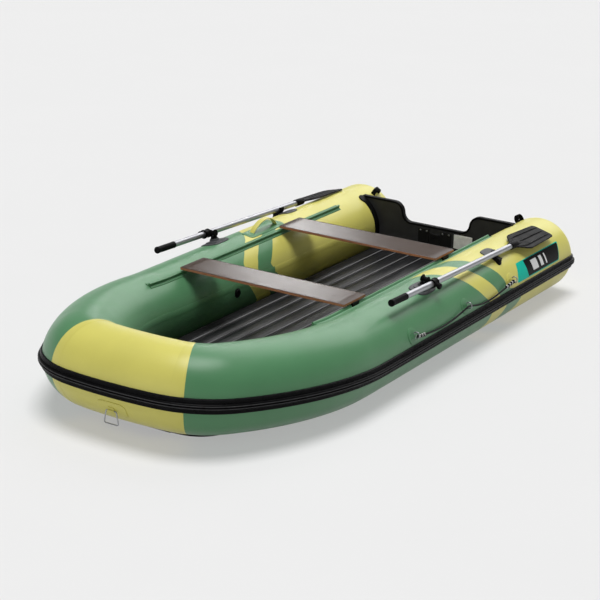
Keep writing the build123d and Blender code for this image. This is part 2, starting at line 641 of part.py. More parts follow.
# Lifeline cord between two wound knots
route = [on_tube(SIDE * share, angle, height).origin for share, angle, height in CORD_ROUTE]
runs = [end - start for start, end in zip(route, route[1:])]
turns = [before.get_angle(after) for before, after in zip(runs, runs[1:])]
radii = [
    0.45 * min(before.length, after.length) / tan(radians(turn / 2))
    for before, after, turn in zip(runs, runs[1:], turns)
]
cord_path = FilletPolyline(*route, radius=radii)
cord = sweep(Plane(route[0], z_dir=runs[0]) * Circle(CORD_RADIUS), path=cord_path)
add_pair("lifeline", cord)
knots = None
for end, direction, share in ((route[0], -runs[0], RING_PLACES[0]), (route[-1], runs[-1], RING_PLACES[-1])):
    reach = abs(STERN_X + SIDE * share - end.X) - RING_WIRE - KNOT_GAP
    knot_length = reach * direction.length / abs(direction.X)
    knot = extrude(Plane(end, z_dir=direction) * Circle(KNOT_RADIUS), knot_length)
    knot = fillet(knot.edges().filter_by(GeomType.CIRCLE), KNOT_RADIUS / 2)
    knots = knot if knots is None else knots + knot
add_pair("lifeline_knots", knots)

# Bow ring under the rub rail, hanging from a loop on its patch
bow_point, bow_out, _ = bow_state(BOW_END_TURN)
tilt = radians(BOW_RING_ANGLE)
ring_out = bow_out * cos(tilt) + BOW_NORMAL * sin(tilt)
patch_section = sector(
    TUBE_R + GLUE, TUBE_R + GLUE + PATCH_THICKNESS, BOW_RING_ANGLE, degrees(BOW_PATCH_HEIGHT / 2 / TUBE_R)
)
patch_turn = degrees(BOW_PATCH_WIDTH / 2 / BOW_FRONT_RADIUS)
patch_run = bow_run(BOW_END_TURN - patch_turn, BOW_END_TURN)
bow_patch = follow(patch_section, [patch_run._replace(amount=2 * patch_turn)])
bar_height = TUBE_R + GLUE + PATCH_THICKNESS + BOW_LOOP_WALL + RUNNING_GAP + BOW_RING_WIRE
bar_plane = Plane(bow_point + ring_out * bar_height, x_dir=(0, 1, 0), z_dir=(1, 0, 0))
ring_path = FilletPolyline(
    (-BOW_RING_BAR / 2, 0),
    (BOW_RING_BAR / 2, 0),
    (BOW_RING_WIDTH / 2, -BOW_RING_DROP),
    (-BOW_RING_WIDTH / 2, -BOW_RING_DROP),
    radius=BOW_RING_WIRE * 3,
    close=True,
)
ring_start = Plane((0, 0, 0), x_dir=(0, 1, 0), z_dir=(1, 0, 0))
parts["bow_ring"] = bar_plane * sweep(ring_start * Circle(BOW_RING_WIRE), path=ring_path)
loop_radius = BOW_RING_WIRE + RUNNING_GAP + BOW_LOOP_WALL
loop_plane = Plane(bar_plane.origin - Vector(0, BOW_LOOP_WIDTH / 2, 0), x_dir=ring_out, z_dir=(0, 1, 0))
loop_section = Circle(loop_radius) + Pos(-loop_radius, 0) * Rectangle(2 * loop_radius, 2 * loop_radius)
bow_loop = extrude(loop_plane * loop_section, BOW_LOOP_WIDTH)
bar_bore = extrude(loop_plane * Circle(BOW_RING_WIRE + RUNNING_GAP), BOW_LOOP_WIDTH)
bow_core = follow(Circle(TUBE_R + GLUE), [patch_run._replace(amount=2 * patch_turn)])
parts["bow_ring_patch"] = bow_patch + (bow_loop - bow_core) - bar_bore


def strap(place, length, height, angle, base_height):
    """Arched strap along the tube, standing on what lies base_height over it."""
    radius = (length**2 / 4 + height**2) / 2 / height
    plane = Plane(on_tube(place, angle).origin, x_dir=(1, 0, 0), z_dir=-on_tube(place, angle).y_dir)
    ring = Pos(0, height - radius) * (Circle(radius) - Circle(radius - HANDLE_STRAP))
    above = Pos(0, -HANDLE_STRAP) * Rectangle(3 * radius, 3 * height, align=(Align.CENTER, Align.MIN))
    band = extrude(plane.offset(-HANDLE_WIDTH / 2) * (ring & above), HANDLE_WIDTH)
    return band - tube_core(place - length, place + length, base_height)


# Carry handle on the starboard tube, and a strap on each tail
handle_place = SIDE * (HANDLE_FROM + HANDLE_TO) / 2
handle_length = SIDE * (HANDLE_TO - HANDLE_FROM)
handle_patch = pad_on_tube(
    RectangleRounded(
        handle_length + 2 * HANDLE_PATCH_MARGIN, HANDLE_WIDTH + HANDLE_PATCH_MARGIN, HANDLE_PATCH_CORNER
    ),
    handle_place,
    HANDLE_ANGLE,
    PATCH_THICKNESS,
    margin=handle_length,
)
parts["carry_handle_patch"] = starboard(handle_patch)
parts["carry_handle"] = starboard(
    strap(handle_place, handle_length, HANDLE_HEIGHT, HANDLE_ANGLE, 2 * GLUE + PATCH_THICKNESS)
)
stern_handle = strap(STERN_HANDLE_PLACE, STERN_HANDLE_LENGTH, STERN_HANDLE_HEIGHT, STERN_HANDLE_ANGLE, GLUE)
add_pair("stern_handle", stern_handle)

# Air valves on the tubes' inner faces
valve = extrude(on_tube(SIDE * VALVE_PLACE, VALVE_ANGLE, -VALVE_HEIGHT) * Circle(VALVE_RADIUS), 2 * VALVE_HEIGHT)
valve = valve - tube_core(0, LENGTH)
add_pair("air_valve", valve)

os.makedirs("parts", exist_ok=True)
for name, shape in parts.items():
    export_step(shape, "parts/" + name + ".step")
print(len(parts), "nodes")
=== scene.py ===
"""Inflatable motor dinghy: skins, rails, floor, oars, fittings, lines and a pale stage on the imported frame.

Metres. +X points to the bow, +Y to port, +Z up. A place on a tube is its distance from the stern along the
tube's middle line, its angle outboard from the tube's top, and its height over the skin.
"""
from collections import namedtuple

import bmesh
import bpy
import numpy as np
from bpy.props import FloatProperty, FloatVectorProperty, IntProperty, PointerProperty
from mathutils import Matrix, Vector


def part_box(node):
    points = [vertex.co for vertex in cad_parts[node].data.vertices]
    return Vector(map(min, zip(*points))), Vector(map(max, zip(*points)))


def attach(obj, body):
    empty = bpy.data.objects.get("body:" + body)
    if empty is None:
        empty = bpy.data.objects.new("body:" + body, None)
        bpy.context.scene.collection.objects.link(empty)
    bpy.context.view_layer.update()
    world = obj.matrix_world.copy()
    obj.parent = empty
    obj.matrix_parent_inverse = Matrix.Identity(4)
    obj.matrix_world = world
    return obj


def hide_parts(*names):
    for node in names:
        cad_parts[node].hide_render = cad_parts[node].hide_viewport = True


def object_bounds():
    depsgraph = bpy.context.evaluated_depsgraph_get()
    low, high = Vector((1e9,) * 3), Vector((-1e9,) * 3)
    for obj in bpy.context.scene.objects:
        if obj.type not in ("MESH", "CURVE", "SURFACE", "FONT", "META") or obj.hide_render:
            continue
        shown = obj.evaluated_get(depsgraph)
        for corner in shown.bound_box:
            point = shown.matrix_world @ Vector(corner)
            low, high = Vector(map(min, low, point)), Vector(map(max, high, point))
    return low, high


bl_info = {
    "name": "Inflatable dinghy",
    "version": (1, 0, 0),
    "blender": (4, 5, 0),
    "location": "View3D > Sidebar > Dinghy",
    "description": "Skins, fittings, lines and stage of an inflatable motor dinghy",
    "category": "Object",
}

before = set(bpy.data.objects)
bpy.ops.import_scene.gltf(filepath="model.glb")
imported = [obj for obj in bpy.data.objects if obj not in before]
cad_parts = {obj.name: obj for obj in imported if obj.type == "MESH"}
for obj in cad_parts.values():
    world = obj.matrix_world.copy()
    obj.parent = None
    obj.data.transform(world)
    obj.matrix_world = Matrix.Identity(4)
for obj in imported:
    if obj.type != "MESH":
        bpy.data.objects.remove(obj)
CAD_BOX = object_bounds()
SIDES = ((1, "port"), (-1, "starboard"))
RIGHT_ANGLE = np.pi / 2
X_AXIS, Y_AXIS, Z_AXIS = np.eye(3)
GLUE = 0.0003  # between a skin and what is bonded to it
SHAFT_GAP = 0.0003  # between an oar's shaft and what holds it
WELD = 2e-6  # points nearer than this become one
BOW_STEPS = 34  # rows over half of the bow

# Colour bands round a tube. Columns: angle outboard from the top, then distances from the stern of the first
# green's end, the yellow band's end and the second green's end
BANDS = np.array(
    (
        (-150, 1.40, 1.25, 1.10),
        (-117, 1.459, 1.32, 1.19),
        (-100, 1.521, 1.39, 1.24),
        (-84, 1.575, 1.44, 1.295),
        (-67, 1.578, 1.465, 1.337),
        (-50, 1.56, 1.42, 1.272),
        (-27, 1.455, 1.315, 1.18),
        (-15, 1.385, 1.205, 1.06),
        (0, 1.322, 1.148, 1.02),
        (13, 1.285, 1.118, 0.985),
        (26, 1.236, 1.085, 0.941),
        (40, 1.19, 1.042, 0.895),
        (53, 1.152, 1.001, 0.858),
        (66, 1.105, 0.957, 0.83),
        (73, 1.08, 0.937, 0.826),
        (79, 1.053, 0.925, 0.79),
        (85, 1.03, 0.903, 0.735),
        (95, 1.0, 0.85, 0.67),
        (107, 0.984, 0.803, 0.622),
        (119, 0.993, 0.822, 0.647),
        (131, 1.004, 0.842, 0.675),
        (150, 1.030, 0.872, 0.714),
        (180, 1.170, 1.020, 0.870),
        (210, 1.40, 1.25, 1.10),
    )
)

# Lifeline. Columns: share of the straight side, angle outboard from the tube's top, height of its middle
# over the skin
CORD_ROUTE = np.array(
    (
        (0.8276, 75.0, 0.017),
        (0.7926, 77.5, 0.011),
        (0.7469, 79.0, 0.009),
        (0.6956, 78.2, 0.009),
        (0.6490, 75.0, 0.013),
        (0.6089, 70.0, 0.027),
        (0.5688, 75.5, 0.013),
        (0.5222, 79.5, 0.009),
        (0.4746, 79.5, 0.009),
        (0.4336, 77.0, 0.011),
        (0.4033, 74.5, 0.016),
    )
)
RING_SHARES = (0.8728, 0.6089, 0.3581)
YELLOW_TAIL = 1.0  # patches nearer to the stern than this are yellow


def linear(red, green, blue):
    """Linear colour from one written in 0 to 255 display steps."""
    steps = np.array((red, green, blue)) / 255
    bright = ((steps + 0.055) / 1.055) ** 2.4
    return tuple(np.where(steps <= 0.04045, steps / 12.92, bright).tolist())


def length(name, default, text):
    """A size in metres."""
    return FloatProperty(name=name, description=text, default=default, min=0, precision=4, unit="LENGTH")


def angle(name, default, text):
    """An angle, given in degrees."""
    return FloatProperty(name=name, description=text, default=np.radians(default), subtype="ANGLE")


def colour(name, default, text):
    """A colour, given in display steps."""
    return FloatVectorProperty(
        name=name, description=text, default=linear(*default), size=3, min=0, max=1, subtype="COLOR"
    )


class DinghySizes(bpy.types.PropertyGroup):
    """Sizes of the dinghy's skins and fittings."""

    half_length: length("Half length", CAD_BOX[1].x, "Half the boat's length")
    tube_radius: length("Tube radius", 0.21, "Radius of the air tubes")
    tube_middle: length("Tube middle", 0.59, "Distance of a side tube's middle from the centre line")
    tail_reach: length("Tail reach", 0.07, "How far the tails run aft of the stern's station")
    tail_rounding: length("Tail rounding", 0.075, "Radius of the tails' round edge")
    tail_dome: length("Tail dome", 0.007, "How far a tail's end swells")
    bow_rise: angle("Bow rise", 3.56, "Angle by which the bow rises")
    rise_radius: length("Rise radius", 2.0, "Radius of the bend up to the bow")
    side_radius: length("Side radius", 1.33, "Radius of the bow's side arc")
    side_turn: angle("Side turn", 31.6, "Turn at the end of the side arc")
    corner_radius: length("Corner radius", 0.24, "Radius of the bow's corner arc")
    corner_turn: angle("Corner turn", 83.3, "Turn at the end of the corner arc")
    panel_turn: angle("Panel turn", 65, "Turn where the bow panel begins")
    split_share: FloatProperty(name="Split", description="Where the side tube is split", default=0.606)
    rail_height: length("Rail height", 0.074, "Height of the rub rail")
    rail_depth: length("Rail depth", 0.020, "How far the rub rail stands out")
    rail_drop: angle("Rail drop", 3.3, "How far the rub rail sits below the tube's middle")
    floor_ribs: IntProperty(name="Floor ribs", description="Ribs along the air floor", default=9, min=1)
    rib_rise: length("Rib rise", 0.012, "Height of a floor rib")
    transom_front: length("Transom front", 0.165, "Distance of the transom's front from the stern")
    transom_thickness: length("Transom thickness", 0.027, "Thickness of the transom board")
    notch_height: length("Notch height", 0.29, "Height of the motor notch")
    notch_half_width: length("Notch half width", 0.165, "Half the width of the motor notch")
    shoulder_height: length("Shoulder height", 0.4, "Height of the transom's shoulders")
    shoulder_half_width: length("Shoulder half width", 0.285, "Half the distance between the shoulders")
    bench_rail_angle: angle("Bench rail angle", 27, "Angle of the bench rails inboard from the tube's top")
    collar_share: FloatProperty(name="Collar", description="Oarlock's place on the side", default=0.709)
    post_angle: angle("Post angle", 15, "Lean of the oarlock post")
    oar_offset: length("Oar offset", 0.05, "Distance of the shaft outboard of the post")
    oar_height: length("Oar height", 0.051, "Height of the collar's pin over the tube")
    oar_pitch: angle("Oar pitch", 1.9, "Slope of the stowed oar")
    shaft_radius: length("Shaft radius", 0.016, "Radius of an oar shaft")
    ring_angle: angle("Ring angle", 70, "Angle of the lifeline rings from the tube's top")
    cord_diameter: length("Cord diameter", 0.010, "Diameter of the lifeline")


class DinghyColours(bpy.types.PropertyGroup):
    """Colours of the dinghy's finishes."""

    green: colour("Green", (84, 136, 95), "Coated cloth of the side tubes")
    yellow: colour("Yellow", (213, 206, 106), "Coated cloth of the bow panel and tails")
    black: colour("Black", (12, 12, 13), "Rubber, mouldings and bottom cloth")
    # Painted highlight: pale lines along the rub rails' crests and slanted glints on their lips
    wear_and_sheen: colour("Highlit", (126, 126, 128), "Rubbed crests of the rub rails")
    floor_black: colour("Floor black", (28, 28, 29), "Coated cloth of the air floor")
    # Painted shade darkening the air floor's grooves
    groove_shade: colour("Shade", (7, 7, 8), "Grooves of the air floor")
    # Painted highlight on the welt at one side of each floor groove
    welt: colour("Welt", (150, 150, 152), "Rubbed welts of the air floor")
    transom: colour("Transom", (50, 50, 51), "Film on the transom")
    motor_pad: colour("Motor pad", (18, 18, 19), "Plastic of the motor pads")
    film: colour("Film", (72, 59, 52), "Film on the thwarts")
    ply: colour("Ply", (176, 118, 84), "Edges of the thwarts")
    grey: colour("Grey", (60, 62, 64), "Pads of oarlocks and cradles")
    aluminium: colour("Aluminium", (172, 173, 177), "Oar shafts")
    steel: colour("Steel", (158, 160, 163), "Rings and screws")
    panel: colour("Panel", (12, 13, 14), "Side panel's ground")
    panel_bar: colour("Panel bar", (228, 229, 229), "Side panel's bars")
    teal: colour("Teal", (20, 190, 166), "Side panel's trim")
    strand: colour("Strand", (14, 14, 15), "Strands of the lifelines")
    fleck: colour("Fleck", (215, 215, 212), "Flecks of the lifelines")
    plate: colour("Plate", (250, 250, 248), "Blank plate on the transom")
    stage: colour("Stage", (239, 239, 239), "Backdrop")


def sizes():
    """The scene's sizes."""
    return bpy.context.scene.dinghy_sizes


def hue(name):
    """One of the scene's colours."""
    return tuple(getattr(bpy.context.scene.dinghy_colours, name))


def bow_arcs():
    """Radius, turn at the start and turn at the end of the bow's three arcs; the last one closes the beam."""
    z = sizes()
    inboard = z.side_radius * (1 - np.cos(z.side_turn))
    inboard += z.corner_radius * (np.cos(z.side_turn) - np.cos(z.corner_turn))
    front_radius = (z.tube_middle - inboard) / np.cos(z.corner_turn)
    return np.array(
        (
            (z.side_radius, 0, z.side_turn),
            (z.corner_radius, z.side_turn, z.corner_turn),
            (front_radius, z.corner_turn, RIGHT_ANGLE),
        )
    )


def side_length():
    """Length of the straight side: what the bow's reach and bend leave of the boat's length."""
    z = sizes()
    arcs = bow_arcs()
    reach = np.sum(arcs[:, 0] * (np.sin(arcs[:, 2]) - np.sin(arcs[:, 1])))
    front = z.half_length - z.rail_depth - GLUE - z.tube_radius
    stern = z.tail_reach - z.half_length
    return front - reach * np.cos(z.bow_rise) - z.rise_radius * np.sin(z.bow_rise) - stern


def place_at(turn):
    """Distance from the stern to the point where the bow has turned inboard by an angle."""
    z = sizes()
    arcs = bow_arcs()
    turned_by = np.clip(turn, arcs[:, 1], arcs[:, 2]) - arcs[:, 1]
    return side_length() + z.rise_radius * z.bow_rise + np.sum(arcs[:, 0] * turned_by)


def centreline(s):
    """Middle line of the port tube by distance from the stern, with its outboard and up directions.

    Straight: x grows with s. Bend: an upright arc. Bow: radius times differences of sines forward and of
    cosines inboard, summed over three arcs in the plane that rises toward the bow.
    """
    z = sizes()
    arcs = bow_arcs()
    side = side_length()
    bend = np.clip((s - side) / z.rise_radius, 0, z.bow_rise)
    ends = np.concatenate([[0], np.cumsum(arcs[:, 0] * (arcs[:, 2] - arcs[:, 1]))])
    turn = np.interp(s - side - z.rise_radius * z.bow_rise, ends, np.concatenate([[0], arcs[:, 2]]))
    bounded = np.clip(turn[..., None], arcs[:, 1], arcs[:, 2])
    forward = np.sum(arcs[:, 0] * (np.sin(bounded) - np.sin(arcs[:, 1])), axis=-1)
    inboard = np.sum(arcs[:, 0] * (np.cos(arcs[:, 1]) - np.cos(bounded)), axis=-1)
    stern = z.tail_reach - z.half_length
    x = stern + np.minimum(s, side) + z.rise_radius * np.sin(bend) + forward * np.cos(z.bow_rise)
    height = z.tube_radius + z.rise_radius * (1 - np.cos(bend)) + forward * np.sin(z.bow_rise)
    point = np.stack([x, z.tube_middle - inboard, height], axis=-1)
    ahead = np.sin(turn)
    outboard = np.stack([np.cos(z.bow_rise) * ahead, np.cos(turn), np.sin(z.bow_rise) * ahead], axis=-1)
    up = np.stack([-np.sin(bend), np.zeros_like(bend), np.cos(bend)], axis=-1)
    return point, outboard, up


def skin(side, s, around, height=0.0):
    """Points over a tube: its middle line plus the radius times outboard and up mixed by the angle around it.

    Within the rounding of the tail the radius follows a quarter circle; aft of it, s closes the domed end.
    """
    z = sizes()
    s, around, height = np.broadcast_arrays(*(np.asarray(given, float) for given in (s, around, height)))
    rounding = z.tail_rounding
    disc = z.tube_radius - rounding
    from_end = s + z.tail_reach
    tilt = clamp(1 - from_end / rounding)
    point, outboard, up = centreline(np.maximum(s, rounding - z.tail_reach))
    inward = np.clip(-from_end, 0, disc)
    radius = disc + (rounding + height) * np.sqrt(1 - tilt**2) - inward
    mixed = np.sin(around)[..., None] * outboard + np.cos(around)[..., None] * up
    points = point + radius[..., None] * mixed
    points[..., 0] -= (rounding + height) * tilt + z.tail_dome * (1 - (1 - inward / disc) ** 2)
    points[..., 1] *= side
    return points


def standing(side, s, around, height=0.0):
    """A point over a tube, and the direction straight out of the skin there."""
    point = skin(side, s, around, height)
    return point, unit(skin(side, s, around, 1.0) - point)


def tube_runs(tail, aft_count, forward_count):
    """Distances from the stern along a side's aft tube, its forward tube and its half of the bow.

    The aft ones begin with the tail's, which are measured from the tail's end.
    """
    z = sizes()
    split = z.split_share * side_length()
    panel = place_at(z.panel_turn)
    straight = np.linspace(z.tail_rounding, split + z.tail_reach, aft_count)[1:]
    aft = np.concatenate([tail, straight]) - z.tail_reach
    bow = np.linspace(panel, place_at(RIGHT_ANGLE), BOW_STEPS)
    return aft, np.linspace(split, panel, forward_count), bow


def bow_rows(half, around, height=0.0):
    """Rows over the bow from port to starboard, mirrored about its middle."""
    port = skin(1, half[:, None], around, height)
    return np.concatenate([port, port[-2::-1] * (1, -1, 1)])


Grid = namedtuple("Grid", "points finish fields")


def grid(points, finish=0, **fields):
    """A sheet of points in rows and columns, with its finish and named values."""
    return Grid(np.asarray(points, float), finish, fields)


def measure(points, axis):
    """Mean distance run along one direction of a grid."""
    steps = np.linalg.norm(np.diff(points, axis=axis), axis=2).mean(axis=1 - axis)
    return np.concatenate([[0], np.cumsum(steps)])


def fill_mesh(mesh, grids):
    """Put grids into a mesh as four-sided faces, with a UV map in metres along rows and columns."""
    points, corners, uvs, marks = [], [], [], []
    names = sorted({key for g in grids for key in g.fields})
    values = {key: [] for key in names}
    first = 0
    for g in grids:
        rows, columns = g.points.shape[:2]
        corner = first + np.arange((rows - 1) * columns).reshape(rows - 1, columns)[:, :-1].ravel()
        corners.append(np.stack([corner, corner + columns, corner + columns + 1, corner + 1], axis=1))
        across, along = np.meshgrid(measure(g.points, 1), measure(g.points, 0))
        uvs.append(np.stack([along, across], axis=-1).reshape(-1, 2))
        points.append(g.points.reshape(-1, 3))
        marks.append(np.broadcast_to(np.reshape(g.finish, (-1, 1)), (rows - 1, columns - 1)).ravel())
        for key in names:
            values[key].append(np.broadcast_to(g.fields.get(key, 0.0), (rows, columns)).ravel())
        first += rows * columns
    corners = np.concatenate(corners)
    mesh.vertices.add(first)
    mesh.vertices.foreach_set("co", np.concatenate(points).ravel())
    mesh.loops.add(corners.size)
    mesh.loops.foreach_set("vertex_index", corners.ravel())
    mesh.polygons.add(len(corners))
    mesh.polygons.foreach_set("loop_start", np.arange(0, corners.size, 4))
    mesh.polygons.foreach_set("material_index", np.concatenate(marks).astype(np.int32))
    mesh.uv_layers.new(name="UVMap").data.foreach_set("uv", np.concatenate(uvs)[corners.ravel()].ravel())
    for key in names:
        mesh.attributes.new(key, "FLOAT", "POINT").data.foreach_set("value", np.concatenate(values[key]))
    mesh.update(calc_edges=True)


def weld(mesh):
    """Merge a mesh's equal points and turn its faces outwards."""
    welded = bmesh.new()
    welded.from_mesh(mesh)
    bmesh.ops.remove_doubles(welded, verts=welded.verts, dist=WELD)
    bmesh.ops.recalc_face_normals(welded, faces=welded.faces)
    welded.to_mesh(mesh)
    welded.free()


def make_piece(name, grids, finishes, body="hull", replaces=(), sharp=38):
    """One smooth mesh object of grids that rides on a body, sharp at edges over an angle in degrees."""
    mesh = bpy.data.meshes.new(name)
    fill_mesh(mesh, grids)
    weld(mesh)
    mesh.shade_smooth()
    mesh.set_sharp_from_angle(angle=np.radians(sharp))
    for finish_name in finishes:
        mesh.materials.append(finish(finish_name))
    piece = bpy.data.objects.new(name, mesh)
    bpy.context.scene.collection.objects.link(piece)
    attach(piece, body)
    if replaces:
        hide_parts(*replaces)
    return piece


def closed_ends(points):
    """Rows with one more at each end, drawn together at that end's middle."""
    ends = [np.broadcast_to(points[i].mean(axis=0), points[i].shape)[None] for i in (0, -1)]
    return np.concatenate([ends[0], points, ends[1]])


def doubled_ends(rows):
    """Rows with the first and the last one repeated."""
    return np.concatenate([rows[:1], rows, rows[-1:]])


def unit(vectors):
    """Vectors divided by their lengths."""
    return vectors / np.linalg.norm(vectors, axis=-1, keepdims=True)


def ring_of(count):
    """Angles once round, with the first one repeated."""
    return np.linspace(0, 2 * np.pi, count + 1)


def wheel(turn):
    """Cosine and sine of angles: points of a circle of radius one."""
    return np.stack([np.cos(turn), np.sin(turn)], axis=-1)


def clamp(values):
    """Values kept between zero and one."""
    return np.clip(values, 0, 1)


def bell(offset, width):
    """Bell curve: e to minus the square of the offset over the width."""
    return np.exp(-((offset / width) ** 2))


def run_along(path):
    """Distance run along a path at each of its points."""
    return np.concatenate([[0], np.cumsum(np.linalg.norm(np.diff(path, axis=0), axis=1))])


def sweep(path, section, reference):
    """Carry a section along a path, its x across the reference direction and its y along it; ends close."""
    path = np.asarray(path, float)
    tangent = unit(np.gradient(path, axis=0))
    across = unit(np.cross(tangent, reference))
    lift = np.cross(across, tangent)
    section = np.asarray(section, float)
    points = path[:, None] + section[..., :1] * across[:, None] + section[..., 1:] * lift[:, None]
    return closed_ends(points)


def wire_round(path, first, second, radius, count):
    """Round wire: circles about a path's points, by the cosine of one direction and the sine of another."""
    turn = ring_of(count)[:, None]
    return path[:, None] + radius * (np.cos(turn) * first[:, None] + np.sin(turn) * second)


def turned(profile, origin, axis, reference, count=40, lobes=0, depth=0.0):
    """Turn a profile of distance and radius about an axis; lobes wave its radius by a share of it."""
    axis = unit(np.asarray(axis, float))
    first = unit(np.cross(axis, reference))
    second = np.cross(axis, first)
    profile = np.asarray(profile, float)
    turn = ring_of(count)
    radius = profile[:, 1:] * (1 - depth * (0.5 - 0.5 * np.cos(lobes * turn)))
    spokes = np.cos(turn)[:, None] * first + np.sin(turn)[:, None] * second
    return np.asarray(origin) + profile[:, :1, None] * axis + radius[..., None] * spokes


def rounded(corners, radius, count=6):
    """Closed outline of a polygon, counter-clockwise, with an arc of one radius at each corner."""
    corners = np.asarray(corners, float)
    before = unit(corners - np.roll(corners, 1, axis=0))
    after = np.roll(before, -1, axis=0)
    start = np.arctan2(-before[:, 0], before[:, 1])
    turn = np.mod(np.arctan2(-after[:, 0], after[:, 1]) - start, 2 * np.pi)
    middle = corners + unit(after - before) * (radius / np.cos(turn / 2))[:, None]
    swing = start[:, None] + turn[:, None] * np.linspace(0, 1, count)
    outline = (middle[:, None] + radius * wheel(swing)).reshape(-1, 2)
    return np.concatenate([outline, outline[:1]])


def rounded_box(width, height, radius):
    """Closed outline of a rectangle with round corners."""
    corners = np.array(((1, 1), (-1, 1), (-1, -1), (1, -1))) * (width / 2, height / 2)
    return rounded(corners, radius)


def dense(outline, step=0.006):
    """Outline with points added, so that it bends with the skin it is pressed on."""
    run = run_along(outline)
    places = np.unique(np.round(np.concatenate([run, np.arange(0, run[-1], step)]), 4))
    made = np.column_stack([np.interp(places, run, outline[:, i]) for i in (0, 1)])
    made[-1] = made[0]
    return made


def oval(width, height, power=2.0):
    """Closed outline: cosine and sine raised to two over the power, so that larger powers are squarer."""
    circle = wheel(ring_of(64))
    return np.sign(circle) * np.abs(circle) ** (2 / power) * (width / 2, height / 2)


def plate(outline, thickness, bevel, rings=3, crown=0.0):
    """Local rows of a plate: out from its middle, over a rounded rim, down its edge and back under it."""
    step = np.roll(outline[:-1], -1, axis=0) - np.roll(outline[:-1], 1, axis=0)
    normal = unit(np.stack([step[:, 1], -step[:, 0]], axis=-1))
    normal = np.concatenate([normal, normal[:1]])
    middle = outline[:-1].mean(axis=0)
    inner = outline - normal * bevel
    rows = []
    for share in np.linspace(0, 1, rings + 1):
        rows.append((middle + (inner - middle) * share, thickness + crown * (1 - share**2)))
    for turn in np.radians((30, 60, 90)):
        rows.append((inner + normal * bevel * np.sin(turn), thickness - bevel * (1 - np.cos(turn))))
    for share in np.linspace(1, 0, rings + 1):
        rows.append((middle + (outline - middle) * share, 0.0))
    return np.stack([np.column_stack([flat, np.full(len(flat), high)]) for flat, high in rows])


def flat_plate(local, origin, across, along, out):
    """Local rows placed in a plane."""
    return np.asarray(origin) + local @ np.array((across, along, out), float)


def skin_plate(local, side, s, around, base=GLUE):
    """Local rows pressed onto a tube: first along it, second round it outboard, third over its skin."""
    return skin(side, s + local[..., 0], around + local[..., 1] / sizes().tube_radius, base + local[..., 2])


def strip(side, s, section, middle):
    """Carry a section of arc length and height along a tube, with its middle at an angle round it."""
    around = middle + section[:, 0] / sizes().tube_radius
    return closed_ends(skin(side, np.asarray(s)[:, None], around, section[:, 1]))


def bonded_section(t, height, skip):
    """Closed section of a bonded strip: its height over the glue by place across, and back along it."""
    top = np.column_stack([t, GLUE + height])
    under = np.column_stack([t[::-skip], np.full(len(t[::-skip]), GLUE)])
    return np.concatenate([top, under, top[:1]])


def mirrored(vector, side):
    """Vector of the port side, or its mirror image for the starboard side."""
    return np.asarray(vector, float) * (1, side, 1)


Axes = namedtuple("Axes", "origin across up forward")


def lock_axes(side):
    """Frame on the tube at the oarlock post: across is outboard along the skin, up is out of it."""
    z = sizes()
    origin = skin(side, side_length() * z.collar_share, z.post_angle)
    across = mirrored((0, np.cos(z.post_angle), -np.sin(z.post_angle)), side)
    up = mirrored((0, np.sin(z.post_angle), np.cos(z.post_angle)), side)
    return Axes(origin, across, up, X_AXIS)


def oar_axes(side):
    """Frame of the stowed oar at its collar: across is outboard, forward runs along the shaft to the grip."""
    z = sizes()
    lock = lock_axes(side)
    forward = lock.forward * np.cos(z.oar_pitch) + lock.up * np.sin(z.oar_pitch)
    up = lock.up * np.cos(z.oar_pitch) - lock.forward * np.sin(z.oar_pitch)
    return Axes(lock.origin + lock.up * z.oar_height + lock.across * z.oar_offset, lock.across, up, forward)


